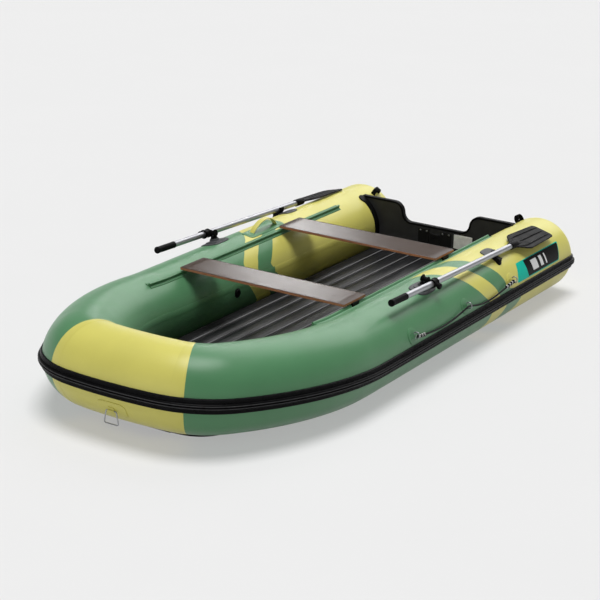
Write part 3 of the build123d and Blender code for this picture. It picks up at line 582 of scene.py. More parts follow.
class Wiring:
    """Adds nodes to a tree: a socket given for an input is linked to it, anything else is set on it."""

    def __init__(self, tree):
        self.tree = tree

    def node(self, kind, inputs=None, **settings):
        """New node of a kind, with its settings and then its inputs."""
        node = self.tree.nodes.new(kind if kind.startswith("NodeGroup") else "ShaderNode" + kind)
        for key, value in settings.items():
            setattr(node, key, value)
        for key, value in (inputs or {}).items():
            self.put(node.inputs[key], value)
        return node

    def put(self, socket, value):
        """Link a socket to an input, or set a value on it."""
        if isinstance(value, bpy.types.NodeSocket):
            self.tree.links.new(value, socket)
        elif socket.type == "RGBA" and len(value) == 3:
            socket.default_value = (*value, 1)
        else:
            socket.default_value = value

    def math(self, operation, *values):
        """Result of a Math node."""
        return self.node("Math", dict(enumerate(values)), operation=operation).outputs[0]

    def plus(self, first, second):
        """Sum of two values."""
        return self.math("ADD", first, second)

    def times(self, first, second):
        """Product of two values."""
        return self.math("MULTIPLY", first, second)

    def larger(self, first, second):
        """Larger of two values."""
        return self.math("MAXIMUM", first, second)

    def above(self, value, limit):
        """One where a value is over a limit, else zero."""
        return self.math("GREATER_THAN", value, limit)

    def below(self, value, limit):
        """One where a value is under a limit, else zero."""
        return self.math("LESS_THAN", value, limit)

    def noise(self, vector, scale, detail=3.0):
        """Noise from zero to one."""
        return self.node("TexNoise", {"Vector": vector, "Scale": scale, "Detail": detail}).outputs["Fac"]

    def ramp(self, value, low, high, start, end):
        """Straight change from start to end while a value goes from low to high."""
        inputs = {"Value": value, "From Min": low, "From Max": high, "To Min": start, "To Max": end}
        return self.node("MapRange", inputs).outputs["Result"]

    def spread(self, noise, start, end):
        """Ramp over the range that a noise mostly keeps to."""
        return self.ramp(noise, 0.3, 0.7, start, end)

    def bands(self, vector, scale, direction, distortion=0.0):
        """Waves from zero to one along a direction."""
        inputs = {"Vector": vector, "Scale": scale, "Distortion": distortion}
        return self.node("TexWave", inputs, bands_direction=direction).outputs["Fac"]

    def crossed(self, vector, scale):
        """Product of two sets of bands at right angles, as in a weave or a mesh."""
        return self.times(*(self.bands(vector, scale, direction) for direction in "XY"))

    def mix(self, share, first, second):
        """Colour between two, by the share of the second."""
        return self.node("Mix", {0: share, 6: first, 7: second}, data_type="RGBA").outputs[2]

    def stretched(self, vector, scale):
        """Vector scaled on each axis."""
        return self.node("Mapping", {"Vector": vector, "Scale": scale}).outputs["Vector"]

    def attribute(self, name):
        """One of a piece's own fields."""
        return self.node("Attribute", attribute_name=name).outputs["Fac"]

    def place(self, name):
        """Texture coordinates of a kind."""
        return self.node("TexCoord").outputs[name]

    def shaded(self, tint, share):
        """Colour brightened or darkened by a share about one."""
        return self.node("HueSaturation", {"Value": share, "Color": tint}).outputs["Color"]

    def bump(self, shader, height, depth, strength):
        """Height put on a shader's normal."""
        node = self.node("Bump", {"Height": height, "Distance": depth, "Strength": strength})
        self.put(shader.inputs["Normal"], node.outputs["Normal"])


def cloth_grain(w, given):
    """Coated cloth: a fine woven print under the coat, soft mottling and a roughness that varies with it."""
    place = given["Vector"]
    weave = w.crossed(place, scale=260.0)
    mottle = w.noise(place, scale=5.0, detail=5.0)
    speck = w.noise(place, scale=900.0, detail=2.0)
    tone = w.plus(w.spread(mottle, 0.955, 1.03), w.ramp(weave, 0, 1, -0.012, 0.012))
    return {
        "Colour": w.shaded(given["Colour"], tone),
        "Roughness": w.spread(w.noise(place, scale=14.0), 0.31, 0.38),
        "Height": w.plus(w.times(weave, 0.6), w.times(speck, 0.4)),
    }


def moulded_grain(w, given):
    """Moulded or rubber surface: spark-eroded grain, faint scuffs and a roughness that varies with both."""
    place = given["Vector"]
    patch = w.noise(place, scale=18.0, detail=4.0)
    streaks = w.noise(w.stretched(place, (40.0, 160.0, 160.0)), scale=1.0, detail=6.0)
    scuff = w.ramp(streaks, 0.62, 0.78, 0.0, 1.0)
    tone = w.plus(w.spread(patch, 0.85, 1.12), w.times(scuff, 0.5))
    return {
        "Colour": w.shaded(given["Colour"], tone),
        "Roughness": w.plus(w.spread(patch, 0.42, 0.52), w.times(scuff, 0.08)),
        "Height": w.noise(place, scale=700.0, detail=2.0),
    }


def drawn_lines(w, given):
    """Drawn metal: fine lines along the first direction, with clouded roughness."""
    lines = w.noise(w.stretched(given["Vector"], (4.0, 500.0, 500.0)), scale=1.0, detail=2.0)
    cloud = w.noise(given["Vector"], scale=30.0)
    return {
        "Colour": w.shaded(given["Colour"], w.spread(cloud, 0.95, 1.03)),
        "Roughness": w.plus(w.spread(lines, 0.39, 0.42), w.spread(cloud, -0.015, 0.015)),
        "Height": lines,
    }


EFFECTS = {"Coated cloth": cloth_grain, "Moulded grain": moulded_grain, "Drawn lines": drawn_lines}


def effect(name):
    """Shader node group of an effect, built on first use."""
    made = bpy.data.node_groups.get(name)
    if made:
        return made
    tree = bpy.data.node_groups.new(name, "ShaderNodeTree")
    for label, way, kind in (
        ("Vector", "INPUT", "Vector"),
        ("Colour", "INPUT", "Color"),
        ("Colour", "OUTPUT", "Color"),
        ("Roughness", "OUTPUT", "Float"),
        ("Height", "OUTPUT", "Float"),
    ):
        tree.interface.new_socket(label, in_out=way, socket_type="NodeSocket" + kind)
    w = Wiring(tree)
    given = w.node("NodeGroupInput").outputs
    result = w.node("NodeGroupOutput")
    for label, value in EFFECTS[name](w, given).items():
        w.put(result.inputs[label], value)
    return tree


def blank(name, **constants):
    """New material with its wiring and its shader, constants set on the shader's own sockets."""
    material = bpy.data.materials.new(name)
    material.use_nodes = True
    w = Wiring(material.node_tree)
    shader = material.node_tree.nodes["Principled BSDF"]
    for key, value in constants.items():
        w.put(shader.inputs[key.replace("_", " ")], value)
    return material, w, shader


def surfaced(name, effect_name, shade, vector, depth, strength, rough=1.0, **constants):
    """Material whose colour, roughness and bump come from an effect.

    The shade is the name of a colour, or a function that wires one.
    """
    material, w, shader = blank(name, **constants)
    source = w.place(vector)
    tint = shade(w) if callable(shade) else hue(shade)
    out = w.node("Group", {"Vector": source, "Colour": tint}, node_tree=effect(effect_name)).outputs
    w.put(shader.inputs["Base Color"], out["Colour"])
    w.put(shader.inputs["Roughness"], w.times(out["Roughness"], rough))
    w.bump(shader, out["Height"], depth, strength)
    return material


def coated(name, shade, vector="UV", specular=0.32, sheen=0.0):
    """Coated cloth of a shade."""
    return surfaced(
        name,
        "Coated cloth",
        shade,
        vector,
        depth=0.0003,
        strength=0.25,
        Specular_IOR_Level=specular,
        Sheen_Weight=sheen,
        Sheen_Roughness=0.4,
    )


def moulded(name, shade, vector="Object", specular=0.06, rough=1.0):
    """Moulded plastic or rubber of a shade."""
    grain = {"depth": 0.0003, "strength": 0.3}
    return surfaced(name, "Moulded grain", shade, vector, **grain, rough=rough, Specular_IOR_Level=specular)


def metal(name, shade, vector):
    """Bare drawn metal of a shade."""
    return surfaced(name, "Drawn lines", shade, vector, depth=0.00001, strength=0.1, Metallic=1.0)


def banded(w):
    """Green where the painted field is above zero, yellow elsewhere."""
    return w.mix(w.above(w.attribute("paint"), 0.0), hue("yellow"), hue("green"))


def panelled(w):
    """Side panel by its own fields: teal rim and forward block, and slanted pale bars on a dark ground."""
    lean, block_start, rim_width, bar_inset = 0.55, 0.42, 0.005, 0.022
    bar_ranges = ((0.17, 0.185), (0.215, 0.25), (0.28, 0.35))
    along, across, rim = (w.attribute(name) for name in ("along", "across", "rim"))
    slant = w.plus(along, w.times(across, lean))
    bars = 0.0
    for low, high in bar_ranges:
        bars = w.plus(bars, w.times(w.above(slant, low), w.below(slant, high)))
    bars = w.times(bars, w.above(rim, bar_inset))
    trim = w.larger(w.above(slant, block_start), w.below(rim, rim_width))
    return w.mix(bars, w.mix(trim, hue("panel"), hue("teal")), hue("panel_bar"))


def railed(w):
    """Black rubber with painted highlights: lines on the crests, slanted glints on the lips; by the rail's
    fields.
    """
    lean, waves, cut, glint_share = 0.7, 900.0, 0.2, 0.06
    place = w.node("SeparateXYZ", {"Vector": w.place("UV")}).outputs
    slant = w.plus(place["X"], w.times(place["Y"], lean))
    # Painted highlights: pale lines on the crests, and slanted pale glints on the lips
    lip_glints = w.above(w.math("SINE", w.times(slant, waves)), cut)
    pale = w.larger(w.attribute("crest"), w.times(lip_glints, w.times(w.attribute("lip"), glint_share)))
    return w.mix(pale, hue("black"), hue("wear_and_sheen"))


def floored(w):
    """Black floor cloth: painted shade in the grooves and painted highlights on welts beside them, by the
    floor's fields.
    """
    # Painted shade darkens the grooves; a painted highlight lightens the welt on one side of each groove
    groove_shaded = w.mix(w.attribute("groove"), hue("floor_black"), hue("groove_shade"))
    return w.mix(w.attribute("welt"), groove_shaded, hue("welt"))


def ply_edge(name):
    """Plywood edge: thin layers by height, with grain running along the bench and dark glue lines."""
    material, w, shader = blank(name, Specular_IOR_Level=0.3)
    place = w.place("Object")
    layers = w.bands(place, scale=92.0, direction="Z", distortion=0.6)
    grain = w.noise(w.stretched(place, (90.0, 12.0, 400.0)), scale=1.0, detail=4.0)
    tone = w.plus(w.ramp(layers, 0.2, 0.8, 0.72, 1.08), w.spread(grain, -0.12, 0.12))
    w.put(shader.inputs["Base Color"], w.shaded(hue("ply"), tone))
    w.put(shader.inputs["Roughness"], w.spread(grain, 0.55, 0.75))
    w.bump(shader, w.plus(layers, grain), depth=0.0004, strength=0.4)
    return material


def bench_film(name):
    """Film-faced ply: a fine mesh print in a brown film, faint grain showing through and worn patches."""
    material, w, shader = blank(name, Specular_IOR_Level=0.06)
    place = w.place("Object")
    prints = w.crossed(place, scale=90.0)
    grain = w.noise(w.stretched(place, (70.0, 5.0, 70.0)), scale=1.0, detail=5.0)
    wear_and_sheen = w.noise(place, scale=9.0, detail=4.0)
    tone = w.plus(w.spread(grain, 0.94, 1.05), w.spread(wear_and_sheen, -0.03, 0.03))
    rough = w.plus(w.spread(wear_and_sheen, 0.17, 0.20), w.ramp(prints, 0, 1, 0, 0.02))
    w.put(shader.inputs["Base Color"], w.shaded(hue("film"), tone))
    w.put(shader.inputs["Roughness"], rough)
    w.bump(shader, prints, depth=0.0001, strength=0.2)
    return material


def braid(name):
    """Braided cord: dark strands, with pale flecks where the cord's own field says, worn unevenly."""
    material, w, shader = blank(name, Specular_IOR_Level=0.15, Sheen_Weight=0.03)
    worn = w.ramp(w.noise(w.place("Object"), scale=260.0, detail=2.0), 0.35, 0.65, 0.75, 1.0)
    tint = w.mix(w.attribute("fleck"), hue("strand"), hue("fleck"))
    w.put(shader.inputs["Base Color"], w.shaded(tint, worn))
    w.put(shader.inputs["Roughness"], w.ramp(worn, 0.75, 1, 0.6, 0.75))
    return material


FINISHES = {
    "tube cloth": lambda name: coated(name, banded, sheen=0.06),
    "green cloth": lambda name: coated(name, "green", sheen=0.06),
    "yellow cloth": lambda name: coated(name, "yellow", sheen=0.06),
    "floor cloth": lambda name: coated(name, floored, specular=0.1),
    "bottom cloth": lambda name: coated(name, "black", "Object", specular=0.1),
    "side panel": lambda name: coated(name, panelled, specular=0.06),
    "rail rubber": lambda name: moulded(name, railed, "UV", specular=0.04, rough=0.6),
    "black moulding": lambda name: moulded(name, "black"),
    "grey moulding": lambda name: moulded(name, "grey", specular=0.3),
    "pad plastic": lambda name: moulded(name, "motor_pad", specular=0.2),
    "transom film": lambda name: moulded(name, "transom", specular=0.25),
    "white plate": lambda name: moulded(name, "plate"),
    "bench film": bench_film,
    "ply edge": ply_edge,
    "drawn aluminium": lambda name: metal(name, "aluminium", "UV"),
    "polished steel": lambda name: metal(name, "steel", "Object"),
    "braided cord": braid,
}


def finish(name):
    """The named material, made on first use."""
    return bpy.data.materials.get(name) or FINISHES[name](name)


def dress(name, *nodes):
    """Give CAD nodes that stay a better material."""
    for node in nodes:
        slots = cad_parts[node].data.materials
        slots.clear()
        slots.append(finish(name))


def spline_points(name, route):
    """Points read from the smooth spline that a route's points control."""
    curve = bpy.data.curves.new(name, "CURVE")
    curve.dimensions = "3D"
    curve.resolution_u = 48
    spline = curve.splines.new("NURBS")
    spline.points.add(len(route) - 1)
    spline.points.foreach_set("co", np.column_stack([route, np.ones(len(route))]).ravel())
    spline.order_u = 3
    spline.use_endpoint_u = True
    holder = bpy.data.objects.new(name, curve)
    read = bpy.data.meshes.new_from_object(holder)
    points = np.empty(len(read.vertices) * 3)
    read.vertices.foreach_get("co", points)
    bpy.data.objects.remove(holder)
    bpy.data.meshes.remove(read)
    bpy.data.curves.remove(curve)
    return points.reshape(-1, 3)


def braided(path, radius, reference):
    """Braided tube: its radius dips between two sets of strands that wind opposite ways."""
    strands, twist, dip = 6, 900, 0.05
    run = run_along(path)[:, None]
    turn = ring_of(32)
    left = np.sin(strands * turn + run * twist)
    right = np.sin(strands * turn - run * twist)
    bulge = 1 - dip * (1 - np.maximum(np.abs(left), np.abs(right)))
    return grid(sweep(path, radius * bulge[..., None] * wheel(turn), reference))


def wound(start, end, radius, strand):
    """Cord wound round itself between two points: a helix of touching turns about a core.

    Its distance from the core wavers a little, and pale flecks follow a sine along the strand.
    """
    pitch, steps_per_turn = 2.15 * strand, 26
    waver, waver_turns = 0.06, 0.37
    fleck_turns, fleck_edge, fleck_cut = 1.35, 8, 3.5
    core_share, core_steps = 0.55, 4
    span = np.linalg.norm(end - start)
    axis = (end - start) / span
    first = unit(np.cross(axis, Z_AXIS))
    second = np.cross(axis, first)
    turns = (span - 2 * strand) / pitch
    t = np.linspace(0, 1, int(turns * steps_per_turn))
    turn = 2 * np.pi * turns * t
    loose = (radius - strand) * (1 + waver * np.sin(turn * waver_turns))
    path = start + axis * (strand + (span - 2 * strand) * t)[:, None]
    path = path + loose[:, None] * (np.cos(turn)[:, None] * first + np.sin(turn)[:, None] * second)
    circle = ring_of(14)
    fleck = clamp(np.sin(turn[:, None] * fleck_turns + np.cos(circle)) * fleck_edge - fleck_cut)
    coil = grid(sweep(path, strand * wheel(circle), axis), fleck=doubled_ends(fleck))
    core = sweep(np.linspace(start, end, core_steps), core_share * radius * wheel(circle), first)
    return [coil, grid(core)]


def strap_arch(side, s, around, reach, rise, width, thickness, base):
    """Webbing loop on a tube: an arch of cosine height along it, carried as a flat strap."""
    flatness, corner_share = 1.5, 0.45
    t = np.linspace(-1, 1, 25)
    height = base + thickness / 2 + rise * np.cos(t * RIGHT_ANGLE) ** flatness
    path = skin(side, s + reach * t, around, height)
    _, out = standing(side, s, around)
    return sweep(path, rounded_box(width, thickness, thickness * corner_share), out)


class DINGHY_OT_stage(bpy.types.Operator):
    """Pale floor, soft light from above and the camera at the photograph's angle"""

    bl_idname = "dinghy.stage"
    bl_label = "Stage"

    def execute(self, context):
        scene = context.scene
        scene.view_settings.view_transform = "Standard"
        self.add_camera(scene)
        self.add_floor(scene)
        self.add_world(scene)
        self.add_lamps(scene)
        return {"FINISHED"}

    def add_lamps(self, scene):
        """Broad key overhead, and lights without shadows that give tubes and flat tops their sheen.

        Angles are in degrees: the lamp's spread, its height over the floor and its heading.
        """
        for name, strength, spread, height, heading in (
            ("key", 2.6, 34, 90, 0),
            ("rear", 1.2, 46, 36, 188),
            ("back", 0.055, 4, 17.5, 212),
            ("fill", 0.45, 50, 6, 350),
        ):
            lamp = bpy.data.lights.new(name, "SUN")
            lamp.energy = strength
            lamp.angle = np.radians(spread)
            lamp.use_shadow = name == "key"
            sun = bpy.data.objects.new(name, lamp)
            sun.rotation_euler = np.radians((0, 90 - height, heading))
            scene.collection.objects.link(sun)

    def add_camera(self, scene):
        """Camera from its place and its yaw, pitch and roll in radians; the lens in pixels of the image."""
        place = np.array((7.9323, 4.8461, 3.4069))
        yaw, pitch, roll = 3.6922, -0.3284, 0.0319
        lens_pixels, image_pixels = 1861.856, 600
        ahead = np.array((np.cos(pitch) * np.cos(yaw), np.cos(pitch) * np.sin(yaw), np.sin(pitch)))
        right = unit(np.cross(ahead, Z_AXIS))
        above = np.cross(right, ahead)
        turned_right = right * np.cos(roll) + above * np.sin(roll)
        turned_above = above * np.cos(roll) - right * np.sin(roll)
        columns = np.column_stack([turned_right, turned_above, -ahead, place])
        data = bpy.data.cameras.new("camera")
        data.sensor_width = 36
        data.lens = lens_pixels / image_pixels * data.sensor_width
        data.clip_end = 200
        camera = bpy.data.objects.new("camera", data)
        camera.matrix_world = Matrix(np.vstack([columns, (0, 0, 0, 1)]).tolist())
        scene.collection.objects.link(camera)
        scene.camera = camera

    def seen(self, w):
        """One for rays from the camera, reflections and what is seen through a surface, else zero."""
        rays = w.node("LightPath").outputs
        beyond = w.larger(rays["Is Glossy Ray"], rays["Is Transmission Ray"])
        return w.larger(rays["Is Camera Ray"], beyond)

    def add_floor(self, scene):
        """Square floor in cells; where it is seen it glows a little, so that its shadow stays soft."""
        seen_share, lit_share, glow = 0.465, 0.48, 0.35
        reach, cells = 40, 8
        material, w, shader = blank("pale floor", Roughness=0.9, Specular_IOR_Level=0.0)
        tone = w.spread(w.noise(w.place("Object"), scale=1.5), 0.995, 1.005)
        seen = self.seen(w)
        pale = w.shaded((seen_share,) * 3, tone)
        w.put(shader.inputs["Base Color"], w.mix(seen, (lit_share,) * 3, pale))
        w.put(shader.inputs["Emission Color"], hue("stage"))
        w.put(shader.inputs["Emission Strength"], w.times(seen, glow))
        columns = cells + 1
        t = np.linspace(-reach, reach, columns)
        x, y = np.meshgrid(t, t)
        points = np.column_stack([x.ravel(), y.ravel(), np.zeros(x.size)])
        corner = np.arange(cells * columns).reshape(cells, columns)[:, :-1].ravel()
        quads = np.stack([corner, corner + 1, corner + columns + 1, corner + columns], axis=1)
        mesh = bpy.data.meshes.new("studio floor")
        mesh.from_pydata(points.tolist(), [], quads.tolist())
        mesh.materials.append(material)
        floor = bpy.data.objects.new("studio_floor", mesh)
        scene.collection.objects.link(floor)

    def add_world(self, scene):
        """Pale at the horizon and dark overhead, by the height of a ray."""
        dark, pale_end, dark_start = 0.1, 0.03, 0.25
        world = bpy.data.worlds.new("soft studio")
        world.use_nodes = True
        w = Wiring(world.node_tree)
        back = world.node_tree.nodes["Background"]
        rise = w.node("SeparateXYZ", {"Vector": w.place("Generated")}).outputs["Z"]
        height = w.ramp(rise, pale_end, dark_start, 0, 1)
        w.put(back.inputs["Color"], w.mix(height, hue("stage"), (dark,) * 3))
        scene.world = world


class DINGHY_OT_lifelines(bpy.types.Operator):
    """Braided lifelines with wound ends, their rings, patches and loops"""

    bl_idname = "dinghy.lifelines"
    bl_label = "Lifelines"

    def execute(self, context):
        for side, word in SIDES:
            self.add_line(side, word)
            self.add_rings(side, word)
        return {"FINISHED"}

    def add_line(self, side, word):
        """Cord along the spline of its route, with a winding from each end to the ring beyond it."""
        z = sizes()
        winding_radius, strand, ring_gap = 0.0099, 0.0044, 0.0037
        straight = side_length()
        route = skin(side, CORD_ROUTE[:, 0] * straight, np.radians(CORD_ROUTE[:, 1]), CORD_ROUTE[:, 2])
        path = spline_points(word + "_lifeline_route", route)
        cord = make_piece(
            word + "_lifeline_cord",
            [braided(path, z.cord_diameter / 2, Z_AXIS)],
            ["braided cord"],
            replaces=[word + "_lifeline"],
        )
        coils = []
        for end, beside, share in ((0, 1, RING_SHARES[0]), (-1, -2, RING_SHARES[-1])):
            way = route[end] - route[beside]
            reach = abs(skin(side, share * straight, 0.0)[0] - route[end][0]) - ring_gap
            coils += wound(route[end], route[end] + way * reach / abs(way[0]), winding_radius, strand)
        knots = make_piece(
            word + "_lifeline_windings",
            coils,
            ["braided cord"],
            replaces=[word + "_lifeline_knots"],
        )

    def add_rings(self, side, word):
        """Round wires standing on round patches, each through a webbing loop."""
        z = sizes()
        patch = 0.003
        ring_radius, wire, ring_gap = 0.017, 0.003, 0.0003
        height = GLUE + patch + wire + ring_gap + ring_radius
        discs = (
            plate(oval(0.084, 0.084), thickness=patch, bevel=0.0022, rings=5),
            plate(oval(0.066, 0.066), thickness=0.0036, bevel=0.0008, rings=5),
        )
        webbing = {"reach": 0.022, "rise": 0.008, "width": 0.026, "thickness": 0.0022}
        wires, pads = [], []
        for share in RING_SHARES:
            s = share * side_length()
            paint = 1.0 if s > YELLOW_TAIL else -1.0
            middle, out = standing(side, s, z.ring_angle, height)
            loop = middle + ring_radius * (wheel(ring_of(48)) @ (np.cross(out, X_AXIS), out))
            wires.append(grid(wire_round(loop, unit(loop - middle), X_AXIS, wire, count=12)))
            shapes = [skin_plate(disc, side, s, z.ring_angle) for disc in discs]
            shapes.append(strap_arch(side, s, z.ring_angle, **webbing, base=GLUE + patch))
            pads += [grid(shape, paint=paint) for shape in shapes]
        make_piece(
            word + "_ring_wires",
            wires,
            ["polished steel"],
            replaces=[word + "_lifeline_rings"],
        )
        make_piece(
            word + "_ring_pads",
            pads,
            ["tube cloth"],
            replaces=[word + "_ring_patches"],
        )


class DINGHY_OT_tubes(bpy.types.Operator):
    """Skins of the five air tubes with their painted bands and seam tapes"""

    bl_idname = "dinghy.tubes"
    bl_label = "Air tubes"

    def execute(self, context):
        z = sizes()
        around = np.radians(np.linspace(BANDS[0, 0], BANDS[-1, 0], 121))
        disc = np.linspace(z.tail_rounding - z.tube_radius, 0, 10)
        edge = z.tail_rounding * (1 - np.cos(np.linspace(0, RIGHT_ANGLE, 16)[1:]))
        aft, forward, bow = tube_runs(np.concatenate([disc, edge]), aft_count=124, forward_count=160)
        for side, word in SIDES:
            for name, places, slot in (("aft", aft, "yellow_pvc"), ("forward", forward, "green_pvc")):
                points = skin(side, places[:, None], around)
                paint = self.paint(places[:, None], around)
                make_piece(
                    f"{word}_{name}_skin",
                    [grid(closed_ends(points), paint=doubled_ends(paint))],
                    ["tube cloth"],
                    replaces=[f"{word}_{name}_tube"],
                )
        make_piece(
            "bow_skin",
            [grid(closed_ends(bow_rows(bow, around)))],
            ["yellow cloth"],
            replaces=["bow_tube"],
        )
        self.add_tapes(bow[0])
        return {"FINISHED"}

    def paint(self, s, around):
        """Signed distance along the tube to the nearest band edge: green above zero, yellow below."""
        angles = np.degrees(around)
        first, second, third = (s - np.interp(angles, BANDS[:, 0], edge) for edge in BANDS[:, 1:].T)
        return np.maximum(first, np.minimum(-second, third))

    def add_tapes(self, panel):
        """Bonded tapes with thin edges: lengthwise on each side tube, and one round each end of the bow."""
        long_width, round_width, round_share = 0.034, 0.03, 0.9
        start, end_gap, lap = 0.30, 0.02, 0.021
        inner, lower = np.radians((-78, 152))
        # Columns: share of the tape's width, height over the skin
        half = np.array(((0.42, 0.0011), (0.5, 0.0006), (0.5, -0.0005)))
        flat = np.concatenate([half[::-1] * (-1, 1), half, half[-1:] * (-1, 1)])
        run = np.linspace(start, panel - end_gap, 150)
        long_tapes, round_tapes = [], []
        for side, _ in SIDES:
            for middle in (inner, lower):
                points = strip(side, run, flat * (long_width, 1), middle)
                paint = self.paint(doubled_ends(run)[:, None], np.array((middle,)))
                long_tapes.append(grid(points, paint=paint))
            section = flat * (round_width, round_share)
            s = panel + lap + section[:, 0]
            round_tapes.append(grid(skin(side, s, ring_of(120)[:, None], section[:, 1])))
        make_piece("side_seam_tapes", long_tapes, ["tube cloth"])
        make_piece("bow_seam_tapes", round_tapes, ["yellow cloth"])


class DINGHY_OT_rub_rails(bpy.types.Operator):
    """Ribbed rub rail round the hull"""

    bl_idname = "dinghy.rub_rails"
    bl_label = "Rub rails"

    def execute(self, context):
        """Rails along the tubes; fields mark the lips and the painted highlights on the crests beside the
        crown's groove.
        """
        z = sizes()
        crest, crest_place, crest_width, lip_start = 0.4, 0.0058, 0.0016, 0.0175
        tail_start = 35
        tail = z.tail_rounding * (1 - np.cos(np.radians(np.linspace(tail_start, 90, 12))))
        aft, forward, bow = tube_runs(tail, aft_count=40, forward_count=110)
        section = self.section()
        across = np.abs(section[:, 0])
        outer = section[:, 1] > 2 * GLUE
        # Fields for painted highlight lines on the crests and painted glints on the lips
        fields = {
            "crest": crest * outer * bell(across - crest_place, crest_width),
            "lip": 1.0 * (across > lip_start),
        }
        centre = RIGHT_ANGLE + z.rail_drop
        around = centre + section[:, 0] / z.tube_radius
        rails = {
            f"{word}_{name}": strip(side, places, section, centre)
            for side, word in SIDES
            for name, places in (("aft", aft), ("forward", forward))
        }
        rails["bow"] = closed_ends(bow_rows(bow, around, section[:, 1]))
        for name, points in rails.items():
            make_piece(
                name + "_rail",
                [grid(points, **fields)],
                ["rail rubber"],
                replaces=[name + "_rub_rail"],
                sharp=60,
            )
        return {"FINISHED"}

    def section(self):
        """Rail profile by height: ribbed flanges with round edges, and a middle bead to the fourth power.

        Bells cut a groove along the bead's crown and a line at each side of it.
        """
        z = sizes()
        base, edge_radius = 0.006, 0.006
        flange, rib, rib_pitch, first_rib = 0.0072, 0.0016, 0.0052, 0.016
        bead_half, power = 0.0155, 4
        groove_depth, groove_width = 0.005, 0.0028
        line_depth, line_place, line_width = 0.0016, 0.009, 0.0012
        half = z.rail_height / 2
        t = np.linspace(-half, half, 121)
        across = np.abs(t)
        edge = np.sqrt(clamp(1 - clamp((across - half + edge_radius) / edge_radius) ** 2))
        flanges = edge * (flange + rib * np.abs(np.sin(np.pi * (across - first_rib) / rib_pitch)))
        bead = clamp(1 - np.abs(t / bead_half) ** power) ** 0.5 * (z.rail_depth - base)
        groove = groove_depth * bell(t, groove_width) + line_depth * bell(across - line_place, line_width)
        height = np.maximum(flanges, base * edge + bead - groove * (bead > 0))
        return bonded_section(t, height, skip=10)


class DINGHY_OT_floor(bpy.types.Operator):
    """Ribbed air floor, and the bottom cloth under it"""

    bl_idname = "dinghy.floor"
    bl_label = "Air floor"

    def execute(self, context):
        """Ribs across, carried from the floor's stern edge to the bow's inner curve.

        A rib's crown falls from its middle by a power; bells give the welts beside the grooves, the painted
        shade in them, and a painted highlight on the welt at one side of each groove.
        """
        z = sizes()
        steps, power = 32, 3.2
        welt_place, welt_width, welt_height, welt_highlight = 0.40625, 0.02, 0.0016, 0.85
        groove_shade_width = 0.09
        low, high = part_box("air_floor")
        half = high.y
        s = np.array([place_at(turn) for turn in np.linspace(0, RIGHT_ANGLE, 181)])
        point, outboard, _ = centreline(s)
        inner = point - outboard * (z.tube_middle - half)
        y = np.linspace(-half, half, z.floor_ribs * steps + 1)
        reach = np.interp(-np.abs(y), -inner[:, 1], inner[:, 0])
        phase = np.mod((y + half) / (2 * half) * z.floor_ribs, 1)
        from_middle = np.abs(phase - 0.5)
        crown = 1 - np.abs(2 * phase - 1) ** power
        welt = bell(from_middle - welt_place, welt_width)
        # Painted shade in the grooves, falling off by a bell from each groove's middle
        groove = bell(0.5 - from_middle, groove_shade_width)
        top = high.z - z.rib_rise * (1 - crown) + welt_height * welt
        loop_y = np.concatenate([y, y[::-1], y[:1]])
        loop_reach = np.concatenate([reach, reach[::-1], reach[:1]])
        loop_z = np.concatenate([top, np.full(len(y), low.z), top[:1]])
        x = low.x + (loop_reach - low.x) * np.linspace(0, 1, 16)[:, None]
        points = np.stack([x, np.broadcast_to(loop_y, x.shape), np.broadcast_to(loop_z, x.shape)], axis=-1)
        points = doubled_ends(points)
        points[[0, -1], :, 2] = low.z
        below = np.zeros(len(y))
        # Fields of painted shade in the grooves, and of a painted highlight on the welt at one side of each
        # groove
        fields = {
            "groove": np.concatenate([groove, below, groove[:1]]),
            "welt": welt_highlight * np.concatenate([welt * (phase > 0.5), below, below[:1]]),
        }
        make_piece(
            "air_floor_skin",
            [grid(points, **fields)],
            ["floor cloth"],
            replaces=["air_floor"],
        )
        dress("bottom cloth", "hull_bottom")
        return {"FINISHED"}


